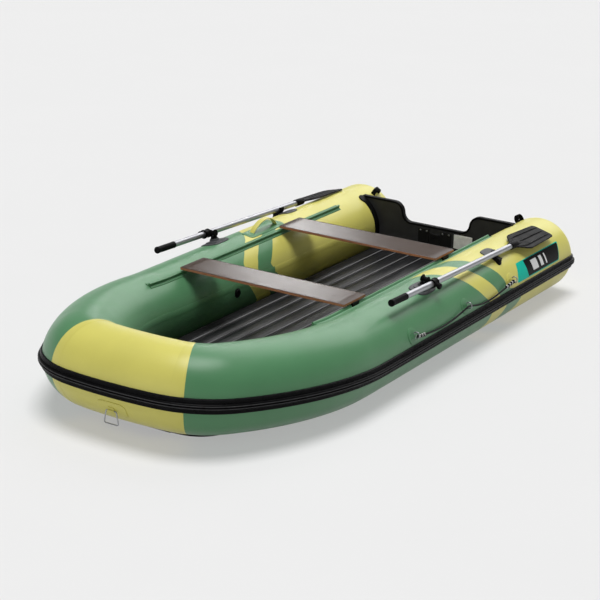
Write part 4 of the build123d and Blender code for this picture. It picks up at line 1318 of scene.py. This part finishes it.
class DINGHY_OT_transom(bpy.types.Operator):
    """Transom's edge trim, flanges, motor pads with screws, blank plate and drain"""

    bl_idname = "dinghy.transom"
    bl_label = "Transom"

    def execute(self, context):
        dress("transom film", "transom_board")
        self.add_trim()
        self.add_flanges()
        self.add_pads()
        self.add_plate()
        self.add_drain()
        return {"FINISHED"}

    def add_trim(self):
        """Bead along the board's top edge: straight shoulders, two arcs each side and the notch's bottom."""
        z = sizes()
        width, overlap, corner, tube_gap = 0.013, 0.006, 0.005, 0.0004
        middle = z.transom_front + z.tail_reach - z.half_length - z.transom_thickness / 2
        rise, run = z.shoulder_height - z.notch_height, z.shoulder_half_width - z.notch_half_width
        radius = (run**2 + rise**2) / 4 / rise
        turn = np.linspace(0, np.arcsin(min(1, run / 2 / radius)), 14)
        arc = radius * np.column_stack([np.sin(turn), 1 - np.cos(turn)])
        lower = np.array((z.notch_half_width, z.notch_height)) + arc
        upper = np.array((z.shoulder_half_width, z.shoulder_height)) - arc[::-1]
        end_radius = z.tube_radius + tube_gap
        end = z.tube_middle - np.sqrt(end_radius**2 - (z.shoulder_height - z.tube_radius) ** 2)
        half = np.concatenate([[(0.0, z.notch_height)], lower, upper[1:], [(end, z.shoulder_height)]])
        edge = np.concatenate([half[::-1] * (-1, 1), half[1:]])
        path = np.column_stack([np.full(len(edge), middle), edge])
        section = rounded_box(width, z.transom_thickness + overlap, corner)
        trim = grid(sweep(path, section, X_AXIS))
        make_piece("transom_edge_trim", [trim], ["black moulding"])

    def add_flanges(self):
        """Bonded strip round each tube in front of the board, with a round lug near its top."""
        z = sizes()
        flange = plate(dense(rounded_box(0.045, 0.302, 0.018)), thickness=0.005, bevel=0.002, rings=8)
        lug = plate(oval(0.062, 0.062), thickness=0.0062, bevel=0.002, rings=4)
        grids = [
            grid(skin_plate(shape, side, z.transom_front + ahead, np.radians(around)))
            for side, _ in SIDES
            for shape, ahead, around in ((flange, 0.0225, -71), (lug, 0.024, -31))
        ]
        make_piece(
            "transom_flange_strips",
            grids,
            ["black moulding"],
            replaces=["transom_flanges"],
        )

    def add_pads(self):
        """On each face of the board, three plates, a bridge on the middle one and four round screws."""
        corner, bevel, set_in = 0.006, 0.0018, 1 / 6
        # Columns: place across the pad, width, drop below the pad's top
        plates = ((-0.0735, 0.072, 0), (0, 0.068, 0.012), (0.0735, 0.072, 0))
        bridge_width, bridge_height, bridge_rise, bridge_bevel, bridge_drop = 0.05, 0.02, 0.004, 0.003, 0.032
        screw_places, screw_drop = (-0.095, -0.052, 0.052, 0.095), 0.012
        # Columns: distance out of the pad, radius
        screw = (
            (0, 0),
            (0, 0.0062),
            (0.0012, 0.006),
            (0.0026, 0.0042),
            (0.0028, 0.0026),
            (0.0012, 0.0022),
            (0.0012, 0),
        )
        for node, way in (("inner_motor_pad", 1), ("outer_motor_pad", -1)):
            low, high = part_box(node)
            out = way * X_AXIS
            depth, tall = high.x - low.x, high.z - low.z
            face = low.x if way > 0 else high.x
            middle = (low.z + high.z) / 2
            grids = []
            for y, wide, drop in plates:
                local = plate(rounded_box(wide, tall - 2 * drop, corner), depth - drop * set_in, bevel)
                grids.append(grid(flat_plate(local, (face, y, middle - drop), Y_AXIS, Z_AXIS, out)))
            outline = rounded_box(bridge_width, bridge_height, corner)
            bridge = plate(outline, depth + bridge_rise, bridge_bevel)
            grids.append(grid(flat_plate(bridge, (face, 0, high.z - bridge_drop), Y_AXIS, Z_AXIS, out)))
            for y in screw_places:
                place = (face + way * depth, y, high.z - screw_drop)
                grids.append(grid(turned(screw, place, out, Z_AXIS, count=20), finish=1))
            make_piece(
                node.replace("_pad", "_plates"),
                grids,
                ["pad plastic", "polished steel"],
                replaces=[node],
            )

    def add_plate(self):
        """Thin plate with nothing on it, as large as its CAD node."""
        corner, bevel = 0.004, 0.0006
        low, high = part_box("capacity_plate")
        local = plate(rounded_box(high.y - low.y, high.z - low.z, corner), high.x - low.x, bevel)
        middle = (low.x, (low.y + high.y) / 2, (low.z + high.z) / 2)
        make_piece(
            "blank_plate",
            [grid(flat_plate(local, middle, Y_AXIS, Z_AXIS, X_AXIS))],
            ["white plate"],
            replaces=["capacity_plate"],
        )

    def add_drain(self):
        """Round flange and a lobed cap: shares of the plug's depth and radius, turned about its axis."""
        flange = np.array(((0, 0), (0, 1), (0.25, 1), (0.34, 0.94), (0.36, 0.72)))
        cap = np.array(((0.36, 0.72), (0.9, 0.66), (1, 0.58), (1, 0)))
        low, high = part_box("drain_plug")
        scale = (high.x - low.x, (high.y - low.y) / 2)
        middle = (low.x, (low.y + high.y) / 2, (low.z + high.z) / 2)
        grids = [
            grid(turned(flange * scale, middle, X_AXIS, Z_AXIS)),
            grid(turned(cap * scale, middle, X_AXIS, Z_AXIS, count=64, lobes=12, depth=0.12)),
        ]
        make_piece("drain_cap", grids, ["black moulding"], replaces=["drain_plug"])


class DINGHY_OT_thwarts(bpy.types.Operator):
    """Film-faced thwarts on the ribbed rails that carry them"""

    bl_idname = "dinghy.thwarts"
    bl_label = "Thwarts"

    def execute(self, context):
        """Boards as large as their CAD nodes; the two rows of faces at a board's edge show the ply."""
        corner, bevel, rings = 0.008, 0.001, 10
        for place in ("forward", "aft"):
            low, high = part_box(place + "_bench")
            outline = rounded_box(high.x - low.x, high.y - low.y, corner)
            local = plate(outline, high.z - low.z, bevel, rings)
            marks = np.zeros(len(local) - 1, int)
            marks[rings + 2 : rings + 4] = 1
            middle = ((low.x + high.x) / 2, (low.y + high.y) / 2, low.z)
            make_piece(
                place + "_thwart",
                [grid(flat_plate(local, middle, X_AXIS, Y_AXIS, Z_AXIS), finish=marks)],
                ["bench film", "ply edge"],
                replaces=[place + "_bench"],
            )
            dress("black moulding", place + "_bench_clips")
        self.add_rails()
        return {"FINISHED"}

    def add_rails(self):
        """Bonded strip with fine ribs of sine height, and a lip whose crown falls by the third power."""
        z = sizes()
        half, edge_width = 0.022, 0.003
        base, rib, rib_pitch = 0.0022, 0.0012, 0.0042
        lip_rise, lip_half, power = 0.0178, 0.0062, 3
        start, end_turn = 0.465, np.radians(3.6)
        t = np.linspace(-half, half, 89)
        edge = clamp((half - np.abs(t)) / edge_width) ** 0.5
        ribs = edge * (base + rib * np.abs(np.sin(np.pi * t / rib_pitch)))
        lip = lip_rise * clamp(1 - (np.abs(t) / lip_half) ** power) ** (1 / power)
        section = bonded_section(t, np.maximum(ribs, lip), skip=8)
        places = np.linspace(start, place_at(end_turn), 90)
        for side, word in SIDES:
            make_piece(
                word + "_thwart_rail",
                [grid(strip(side, places, section, -z.bench_rail_angle))],
                ["green cloth"],
                replaces=[word + "_bench_rail"],
                sharp=50,
            )


class DINGHY_OT_oars(bpy.types.Operator):
    """Oar shafts, grips and ribbed blades"""

    bl_idname = "dinghy.oars"
    bl_label = "Oars"

    def execute(self, context):
        for side, word in SIDES:
            axes = oar_axes(side)
            self.add_shaft(axes, word)
            self.add_grip(axes, word)
            self.add_blade(axes, word)
        return {"FINISHED"}

    def add_shaft(self, axes, word):
        """Round tube from inside the blade to inside the grip, by distance from the collar."""
        radius = sizes().shaft_radius
        places = (-0.975, -0.5, 0, 0.416)
        profile = [(places[0], 0), *((place, radius) for place in places), (places[-1], 0)]
        make_piece(
            word + "_shaft_tube",
            [grid(turned(profile, axes.origin, axes.forward, axes.up, count=48))],
            ["drawn aluminium"],
            body=word + "_oar",
            replaces=[word + "_oar_shaft"],
        )

    def add_grip(self, axes, word):
        """Hand grip: a sleeve with sine ribs that swells by a bell at each end, closed by a shallow dome."""
        start, run, mouth_radius, radius = 0.296, 0.149, 0.0162, 0.0172
        rib, rib_count, rib_start, rib_end = 0.0005, 15, 0.14, 0.84
        # Columns: height, place and width of a swelling, the last two as shares of the grip
        swellings = ((0.0012, 0.03, 0.05), (0.0013, 0.96, 0.06))
        t = np.linspace(0, 1, 90)
        swell = radius + sum(height * bell(t - place, width) for height, place, width in swellings)
        ribs = rib * np.sin(2 * np.pi * t * rib_count) * ((t > rib_start) & (t < rib_end))
        sleeve = np.column_stack([start + run * t, swell + ribs])
        # Columns: distance from the collar, radius
        tip = np.array(((0.4462, 0.0176), (0.447, 0.0155), (0.447, 0.006), (0.4455, 0.004), (0.4455, 0)))
        profile = np.concatenate([[(start, mouth_radius)], sleeve, tip])
        make_piece(
            word + "_hand_grip",
            [grid(turned(profile, axes.origin, axes.forward, axes.up, count=48))],
            ["black moulding"],
            body=word + "_oar",
            replaces=[word + "_oar_grip"],
        )

    def add_blade(self, axes, word):
        """Blade: half width by share from neck to tip, with a spine and ribs that fade toward the tip.

        The width grows by a smooth step, then tapers, and its corners are quarter circles. Bells across it
        give three ribs and the rim; the spine is half a circle that shrinks by a power.
        """
        neck, tip = -0.925, -1.345
        neck_half, shoulder, shoulder_share, taper = 0.020, 0.0625, 0.27, 0.0125
        corner_start, corner_cut = 0.935, 0.028
        rib_places, rib_height, rib_width = (-0.58, 0.0, 0.58), 0.005, 0.0042
        rim_place, rim_height, rim_width = 0.965, 0.0028, 0.0035
        spine_height, spine_half, spine_share, spine_power = 0.0155, 0.0195, 0.5, 1.3
        thickness, edge_power, fade_share, under_share = 0.0034, 30, 0.16, 0.25
        t = np.linspace(0, 1, 90)[:, None]
        v = np.linspace(-1, 1, 81)
        along = neck + (tip - neck) * t
        grow = clamp(t / shoulder_share)
        narrowing = taper * clamp((t - shoulder_share) / (1 - shoulder_share))
        width = neck_half + shoulder * grow**2 * (3 - 2 * grow) - narrowing
        corner = clamp((t - corner_start) / (1 - corner_start))
        width = width - corner_cut * (1 - np.sqrt(1 - corner**2))
        fade = clamp((1 - t) / fade_share) ** 0.5 * grow
        lobe = np.sqrt(clamp(1 - (v * width / spine_half) ** 2))
        spine = spine_height * clamp(1 - t / spine_share) ** spine_power * lobe
        ribs = rib_height * fade * sum(bell((v - at) * width, rib_width) for at in rib_places)
        rim = rim_height * fade * bell((np.abs(v) - rim_place) * width, rim_width)
        edge = np.sqrt(clamp(1 - np.abs(v) ** edge_power))
        top = np.maximum((thickness + ribs + rim) * edge, spine)
        bottom = -np.maximum(thickness * edge + under_share * ribs, spine)
        flat = v * width
        across = np.concatenate([flat, flat[:, ::-1], flat[:, :1]], axis=1)[..., None]
        lift = np.concatenate([top, bottom[:, ::-1], top[:, :1]], axis=1)[..., None]
        middle = axes.origin + along[..., None] * axes.forward + across * axes.across
        points = doubled_ends(middle + lift * axes.up)
        points[[0, -1]] = middle[[0, -1]]
        # Columns: distance from the collar, radius
        sleeve = (
            (-0.905, 0.0163),
            (-0.905, 0.019),
            (-0.909, 0.0202),
            (-0.975, 0.0202),
            (-0.985, 0.017),
            (-0.985, 0),
        )
        make_piece(
            word + "_blade_moulding",
            [grid(points), grid(turned(sleeve, axes.origin, axes.forward, axes.up))],
            ["black moulding"],
            body=word + "_oar",
            replaces=[word + "_oar_blade"],
        )


class DINGHY_OT_oarlocks(bpy.types.Operator):
    """Oarlock pads and posts, forked swivels, collars with knobs, and the cradles aft"""

    bl_idname = "dinghy.oarlocks"
    bl_label = "Oarlocks and cradles"

    def execute(self, context):
        for side, word in SIDES:
            self.add_base(side, word)
            self.add_swivel(side, word)
            self.add_collar(side, word)
            self.add_cradle(side, word)
        return {"FINISHED"}

    def add_base(self, side, word):
        """Two crowned pads on the skin, and a boss with its post turned about the post's axis."""
        z = sizes()
        lock = lock_axes(side)
        s = z.collar_share * side_length()
        pads = (
            plate(oval(0.185, 0.104, power=3.0), thickness=0.0045, bevel=0.003, rings=6, crown=0.0015),
            plate(oval(0.12, 0.078, power=2.6), thickness=0.009, bevel=0.004, rings=5, crown=0.002),
        )
        # Columns: height over the skin, radius
        boss = (
            (0.0, 0),
            (0.0, 0.034),
            (0.012, 0.0275),
            (0.018, 0.026),
            (0.02, 0.024),
            (0.02, 0.008),
            (0.042, 0.008),
            (0.042, 0),
        )
        grids = [grid(skin_plate(pad, side, s, z.post_angle)) for pad in pads]
        grids.append(grid(turned(boss, lock.origin, lock.up, lock.forward)))
        make_piece(
            word + "_oarlock_pad",
            grids,
            ["grey moulding"],
            replaces=[word + "_oarlock_base"],
        )

    def add_swivel(self, side, word):
        """Turret with a flange, and two ears with a sleeve between them for the collar's pin."""
        z = sizes()
        soft, pin_bore = 0.0016, 0.0064
        # Columns: height over the skin, radius
        turret = (
            (0.0206, 0.0084),
            (0.0206, 0.0218),
            (0.0236, 0.022),
            (0.0262, 0.0185),
            (0.036, 0.017),
            (0.036, 0.0084),
            (0.0206, 0.0084),
        )
        # Columns: start and end across the post, radius
        ears = ((-0.02, -0.0105, 0.0188), (-0.011, 0.011, 0.0125), (0.0105, 0.02, 0.0188))
        lock = lock_axes(side)
        grids = [grid(turned(turret, lock.origin, lock.up, lock.forward, count=48, lobes=6, depth=0.06))]
        pin = lock.origin + lock.up * z.oar_height
        for start, end, radius in ears:
            ear = (
                (start, pin_bore),
                (start, radius - soft),
                (start + soft, radius),
                (end - soft, radius),
                (end, radius - soft),
                (end, pin_bore),
                (start, pin_bore),
            )
            grids.append(grid(turned(ear, pin, lock.across, lock.up)))
        make_piece(
            word + "_oarlock_fork",
            grids,
            ["black moulding"],
            body=word + "_swivel",
            replaces=[word + "_oarlock_swivel"],
        )

    def add_collar(self, side, word):
        """Ring with a raised band at each end, turned about the shaft; a pin and a lobed knob across it."""
        axes = oar_axes(side)
        lock = lock_axes(side)
        bore = sizes().shaft_radius + SHAFT_GAP
        # Columns: distance along the shaft or across it, radius
        half_ring = np.array(
            (
                (0.0145, 0.0225),
                (0.0165, 0.0248),
                (0.0215, 0.0248),
                (0.023, 0.0225),
                (0.023, bore),
            )
        )
        pin = ((-0.0705, 0), (-0.0705, 0.0058), (-0.0195, 0.0058), (-0.0195, 0))
        stem = ((0.02, 0), (0.02, 0.0105), (0.03, 0.0105), (0.03, 0))
        knob = (
            (0.0285, 0),
            (0.0285, 0.014),
            (0.0305, 0.0165),
            (0.0425, 0.0165),
            (0.0462, 0.0135),
            (0.047, 0.008),
            (0.047, 0),
        )
        ring = np.concatenate([half_ring[::-1] * (-1, 1), half_ring, half_ring[-1:] * (-1, 1)])
        grids = [
            grid(turned(ring, axes.origin, axes.forward, axes.up, count=48)),
            grid(turned(pin, axes.origin, lock.across, lock.up, count=24)),
            grid(turned(stem, axes.origin, lock.across, lock.up, count=32)),
            grid(turned(knob, axes.origin, lock.across, lock.up, count=72, lobes=8, depth=0.12)),
        ]
        make_piece(
            word + "_collar_clamp",
            grids,
            ["black moulding"],
            body=word + "_collar",
            replaces=[word + "_oar_collar"],
        )

    def add_cradle(self, side, word):
        """Pad, a block that narrows toward the shaft, and a clip under the shaft and up its inboard side."""
        z = sizes()
        axes = oar_axes(side)
        place, pad_aft, pad_angle = -0.731, 0.02, np.radians(17)
        block_offset, clip_thickness, clip_width = 0.004, 0.0088, 0.038
        clip_gap, clip_start, clip_bend, clip_low, clip_high = 0.0045, 0.038, 0.004, 0.002, 0.0072
        pad = plate(oval(0.12, 0.09, power=3.0), thickness=0.0045, bevel=0.003, rings=6, crown=0.0015)
        # Columns: height from the shaft's axis, share of the block's outline
        levels = (
            (-0.05, 1.12),
            (-0.042, 1.1),
            (-0.034, 1.0),
            (-0.026, 0.98),
            (-0.0235, 0.94),
            (-0.0225, 0.85),
        )
        s = z.collar_share * side_length() + place
        middle = axes.origin + place * axes.forward
        outline = rounded_box(0.076, 0.038, 0.012) @ (axes.across, axes.forward)
        foot = middle + block_offset * axes.across
        block = np.stack([foot + level * axes.up + outline * share for level, share in levels])
        radius = z.shaft_radius + SHAFT_GAP + clip_gap
        under = np.column_stack([np.linspace(clip_start, clip_bend, 8), np.full(8, -radius)])
        turn = np.linspace(0, RIGHT_ANGLE, 12)[1:]
        bend = -radius * np.column_stack([np.sin(turn), np.cos(turn)])
        up = np.column_stack([np.full(4, -radius), np.linspace(clip_low, clip_high, 4)])
        path = middle + np.concatenate([under, bend, up]) @ (axes.across, axes.up)
        clip = sweep(path, rounded_box(clip_thickness, clip_width, 0.003), axes.forward)
        grids = [
            grid(skin_plate(pad, side, s - pad_aft, pad_angle)),
            grid(closed_ends(block), finish=1),
            grid(clip, finish=1),
        ]
        make_piece(
            word + "_cradle_clip",
            grids,
            ["grey moulding", "black moulding"],
            replaces=[word + "_oar_cradle"],
        )


class DINGHY_OT_handles(bpy.types.Operator):
    """Carry strap on the starboard tube, loops on the tails, bow ring and air valves"""

    bl_idname = "dinghy.handles"
    bl_label = "Handles, bow ring and valves"

    def execute(self, context):
        self.add_carry_strap()
        for side, word in SIDES:
            self.add_stern_loop(side, word)
            self.add_valve(side, word)
        self.add_bow_ring()
        return {"FINISHED"}

    def add_carry_strap(self):
        """Strap on the starboard tube, with a patch under it and a tab at each foot."""
        start_share, end_share, around = 0.4844, 0.5986, np.radians(-7)
        pad_margin, tab_reach = 0.1, 0.012
        strap_size = {"rise": 0.064, "width": 0.0295, "thickness": 0.0052, "base": 0.0036}
        start, end = start_share * side_length(), end_share * side_length()
        middle, span = (start + end) / 2, end - start
        patch = dense(rounded_box(span + pad_margin, 0.08, 0.025))
        tab = plate(dense(rounded_box(0.05, 0.05, 0.008)), thickness=0.0046, bevel=0.0014, rings=4)
        grids = [grid(skin_plate(plate(patch, thickness=0.003, bevel=0.002, rings=8), -1, middle, around))]
        grids += [grid(skin_plate(tab, -1, s, around)) for s in (start - tab_reach, end + tab_reach)]
        make_piece(
            "carry_strap_patch",
            grids,
            ["green cloth"],
            replaces=["carry_handle_patch"],
        )
        strap = grid(self.arch(-1, middle, span, around, **strap_size))
        make_piece("carry_strap", [strap], ["yellow cloth"], replaces=["carry_handle"])

    def add_stern_loop(self, side, word):
        """Rubber loop on top of a tail."""
        place, span, around = 0.044, 0.058, np.radians(-30)
        loop = self.arch(side, place, span, around, rise=0.042, width=0.029, thickness=0.0058, base=GLUE)
        make_piece(
            word + "_stern_loop",
            [grid(loop)],
            ["rail rubber"],
            replaces=[word + "_stern_handle"],
        )

    def arch(self, side, s, span, around, rise, width, thickness, base):
        """Strap bent to an arc of circle along the tube, from skin to skin, with a flat rounded section."""
        sink, corner_share = 0.003, 0.4
        radius = (span**2 / 4 + rise**2) / 2 / rise
        middle = radius - sink
        limit = np.arccos(np.clip((radius - rise + base) / middle, -1, 1))
        turn = np.linspace(-limit, limit, 61)
        foot, out = standing(side, s, around)
        height = rise - radius + middle * np.cos(turn)
        path = foot + np.outer(middle * np.sin(turn), X_AXIS) + np.outer(height, out)
        section = rounded_box(thickness, width, thickness * corner_share)
        return sweep(path, section, np.cross(out, X_AXIS))

    def add_valve(self, side, word):
        """Air valve: a flange on the skin, a stepped rim and a cap with a grip bar across it."""
        share, around = 0.7856, np.radians(-88)
        # Columns: height over the skin, radius
        rim = (
            (-0.002, 0),
            (-0.002, 0.0258),
            (0.0018, 0.0258),
            (0.003, 0.0245),
            (0.0032, 0.0205),
            (0.0066, 0.0198),
            (0.0078, 0.0185),
            (0.0078, 0.0160),
            (0.0045, 0.0152),
            (0.0045, 0),
        )
        bar = plate(rounded_box(0.03, 0.007, 0.003), thickness=0.0078, bevel=0.0015, rings=2)
        foot, out = standing(side, share * side_length(), around)
        grids = [
            grid(turned(rim, foot, out, X_AXIS, count=48)),
            grid(flat_plate(bar, foot, np.cross(out, X_AXIS), X_AXIS, out)),
        ]
        make_piece(
            word + "_valve",
            grids,
            ["black moulding"],
            replaces=[word + "_air_valve"],
        )

    def add_bow_ring(self):
        """Bent ring of round wire, between the top and bottom of its CAD node."""
        wire, top_half, foot_half, bend, step = 0.003, 0.029, 0.042, 0.009, 0.002
        low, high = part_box("bow_ring")
        top, foot = high.z - wire, low.z + wire
        corners = ((top_half, top), (-top_half, top), (-foot_half, foot), (foot_half, foot))
        outline = dense(rounded(corners, bend, count=10), step)[:-1]
        path = np.column_stack([np.full(len(outline), (low.x + high.x) / 2), outline])
        tangent = unit(np.roll(path, -1, axis=0) - np.roll(path, 1, axis=0))
        ring = wire_round(path, np.cross(tangent, X_AXIS), X_AXIS, wire, count=16)
        ring = grid(np.concatenate([ring, ring[:1]]))
        make_piece("bow_tow_ring", [ring], ["polished steel"], replaces=["bow_ring"])
        self.add_bow_patch()

    def add_bow_patch(self):
        """Bonded patch across the bow's middle line, and a cloth loop that stands on it round the wire."""
        thickness, below_middle = 0.003, np.radians(33)
        loop_height, loop_radius, loop_stretch, loop_turn = 0.0063, 0.0052, 1.15, 1.25 * RIGHT_ANGLE
        leg_reach, leg_height = 0.016, 0.001
        middle = place_at(RIGHT_ANGLE)
        around = RIGHT_ANGLE + below_middle
        local = plate(dense(rounded_box(0.15, 0.09, 0.03)), thickness, bevel=0.002, rings=6)
        across = local[..., 0]
        turns = around + local[..., 1] / sizes().tube_radius
        patch = skin(1, middle - np.abs(across), turns, GLUE + local[..., 2])
        patch[..., 1] = np.where(across < 0, -patch[..., 1], patch[..., 1])
        foot, out = standing(1, middle, around, GLUE + thickness)
        down = np.cross(Y_AXIS, out)
        turn = np.linspace(-loop_turn, loop_turn, 25)
        heights = loop_height + loop_radius * np.cos(turn)
        reaches = loop_radius * np.sin(turn) * loop_stretch
        legs = [foot + leg_reach * way * down + leg_height * out for way in (-1, 1)]
        route = np.concatenate([legs[:1], foot + np.outer(heights, out) + np.outer(reaches, down), legs[1:]])
        loop = sweep(route, rounded_box(0.0028, 0.035, 0.0012), Y_AXIS)
        make_piece(
            "bow_ring_pad",
            [grid(patch), grid(loop)],
            ["yellow cloth"],
            replaces=["bow_ring_patch"],
        )


class DINGHY_OT_side_panels(bpy.types.Operator):
    """Plain decorative panel on each tail"""

    bl_idname = "dinghy.side_panels"
    bl_label = "Side panels"

    def execute(self, context):
        """Thin plate leaned forward; its fields are the distances along it, across it and from its rim."""
        half_length, half_height, corner, lean = 0.265, 0.052, 0.008, 0.4
        place, around = 0.405, np.radians(65.5)
        outline = dense(rounded_box(2 * half_length, 2 * half_height, corner))
        local = plate(outline, thickness=0.0009, bevel=0.0004, rings=16)
        lengthwise, across = local[..., 0], local[..., 1]
        fields = {
            "along": lengthwise + half_length,
            "across": across,
            "rim": np.minimum(half_length - np.abs(lengthwise), half_height - np.abs(across)),
        }
        local[..., 0] += lean * across
        for side, word in SIDES:
            make_piece(
                word + "_side_panel",
                [grid(skin_plate(local, side, place, around), **fields)],
                ["side panel"],
            )
        return {"FINISHED"}


OPERATORS = (
    DINGHY_OT_stage,
    DINGHY_OT_lifelines,
    DINGHY_OT_tubes,
    DINGHY_OT_rub_rails,
    DINGHY_OT_floor,
    DINGHY_OT_transom,
    DINGHY_OT_thwarts,
    DINGHY_OT_oars,
    DINGHY_OT_oarlocks,
    DINGHY_OT_handles,
    DINGHY_OT_side_panels,
)


class DINGHY_PT_panel(bpy.types.Panel):
    """Sidebar list of the dinghy's pieces, sizes and colours"""

    bl_idname = "DINGHY_PT_panel"
    bl_label = "Inflatable dinghy"
    bl_space_type = "VIEW_3D"
    bl_region_type = "UI"
    bl_category = "Dinghy"

    def draw(self, context):
        for operator in OPERATORS:
            self.layout.operator(operator.bl_idname)
        for group in (context.scene.dinghy_sizes, context.scene.dinghy_colours):
            for key in group.__annotations__:
                self.layout.prop(group, key)


CLASSES = (DinghySizes, DinghyColours, *OPERATORS, DINGHY_PT_panel)


def register():
    """Register the classes and the scene's sizes and colours."""
    for cls in CLASSES:
        bpy.utils.register_class(cls)
    bpy.types.Scene.dinghy_sizes = PointerProperty(type=DinghySizes)
    bpy.types.Scene.dinghy_colours = PointerProperty(type=DinghyColours)


def unregister():
    """Undo what register does."""
    del bpy.types.Scene.dinghy_sizes
    del bpy.types.Scene.dinghy_colours
    for cls in reversed(CLASSES):
        bpy.utils.unregister_class(cls)


def main():
    """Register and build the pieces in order."""
    register()
    for operator in OPERATORS:
        group, name = operator.bl_idname.split(".")
        getattr(getattr(bpy.ops, group), name)()


if __name__ == "__main__":
    main()
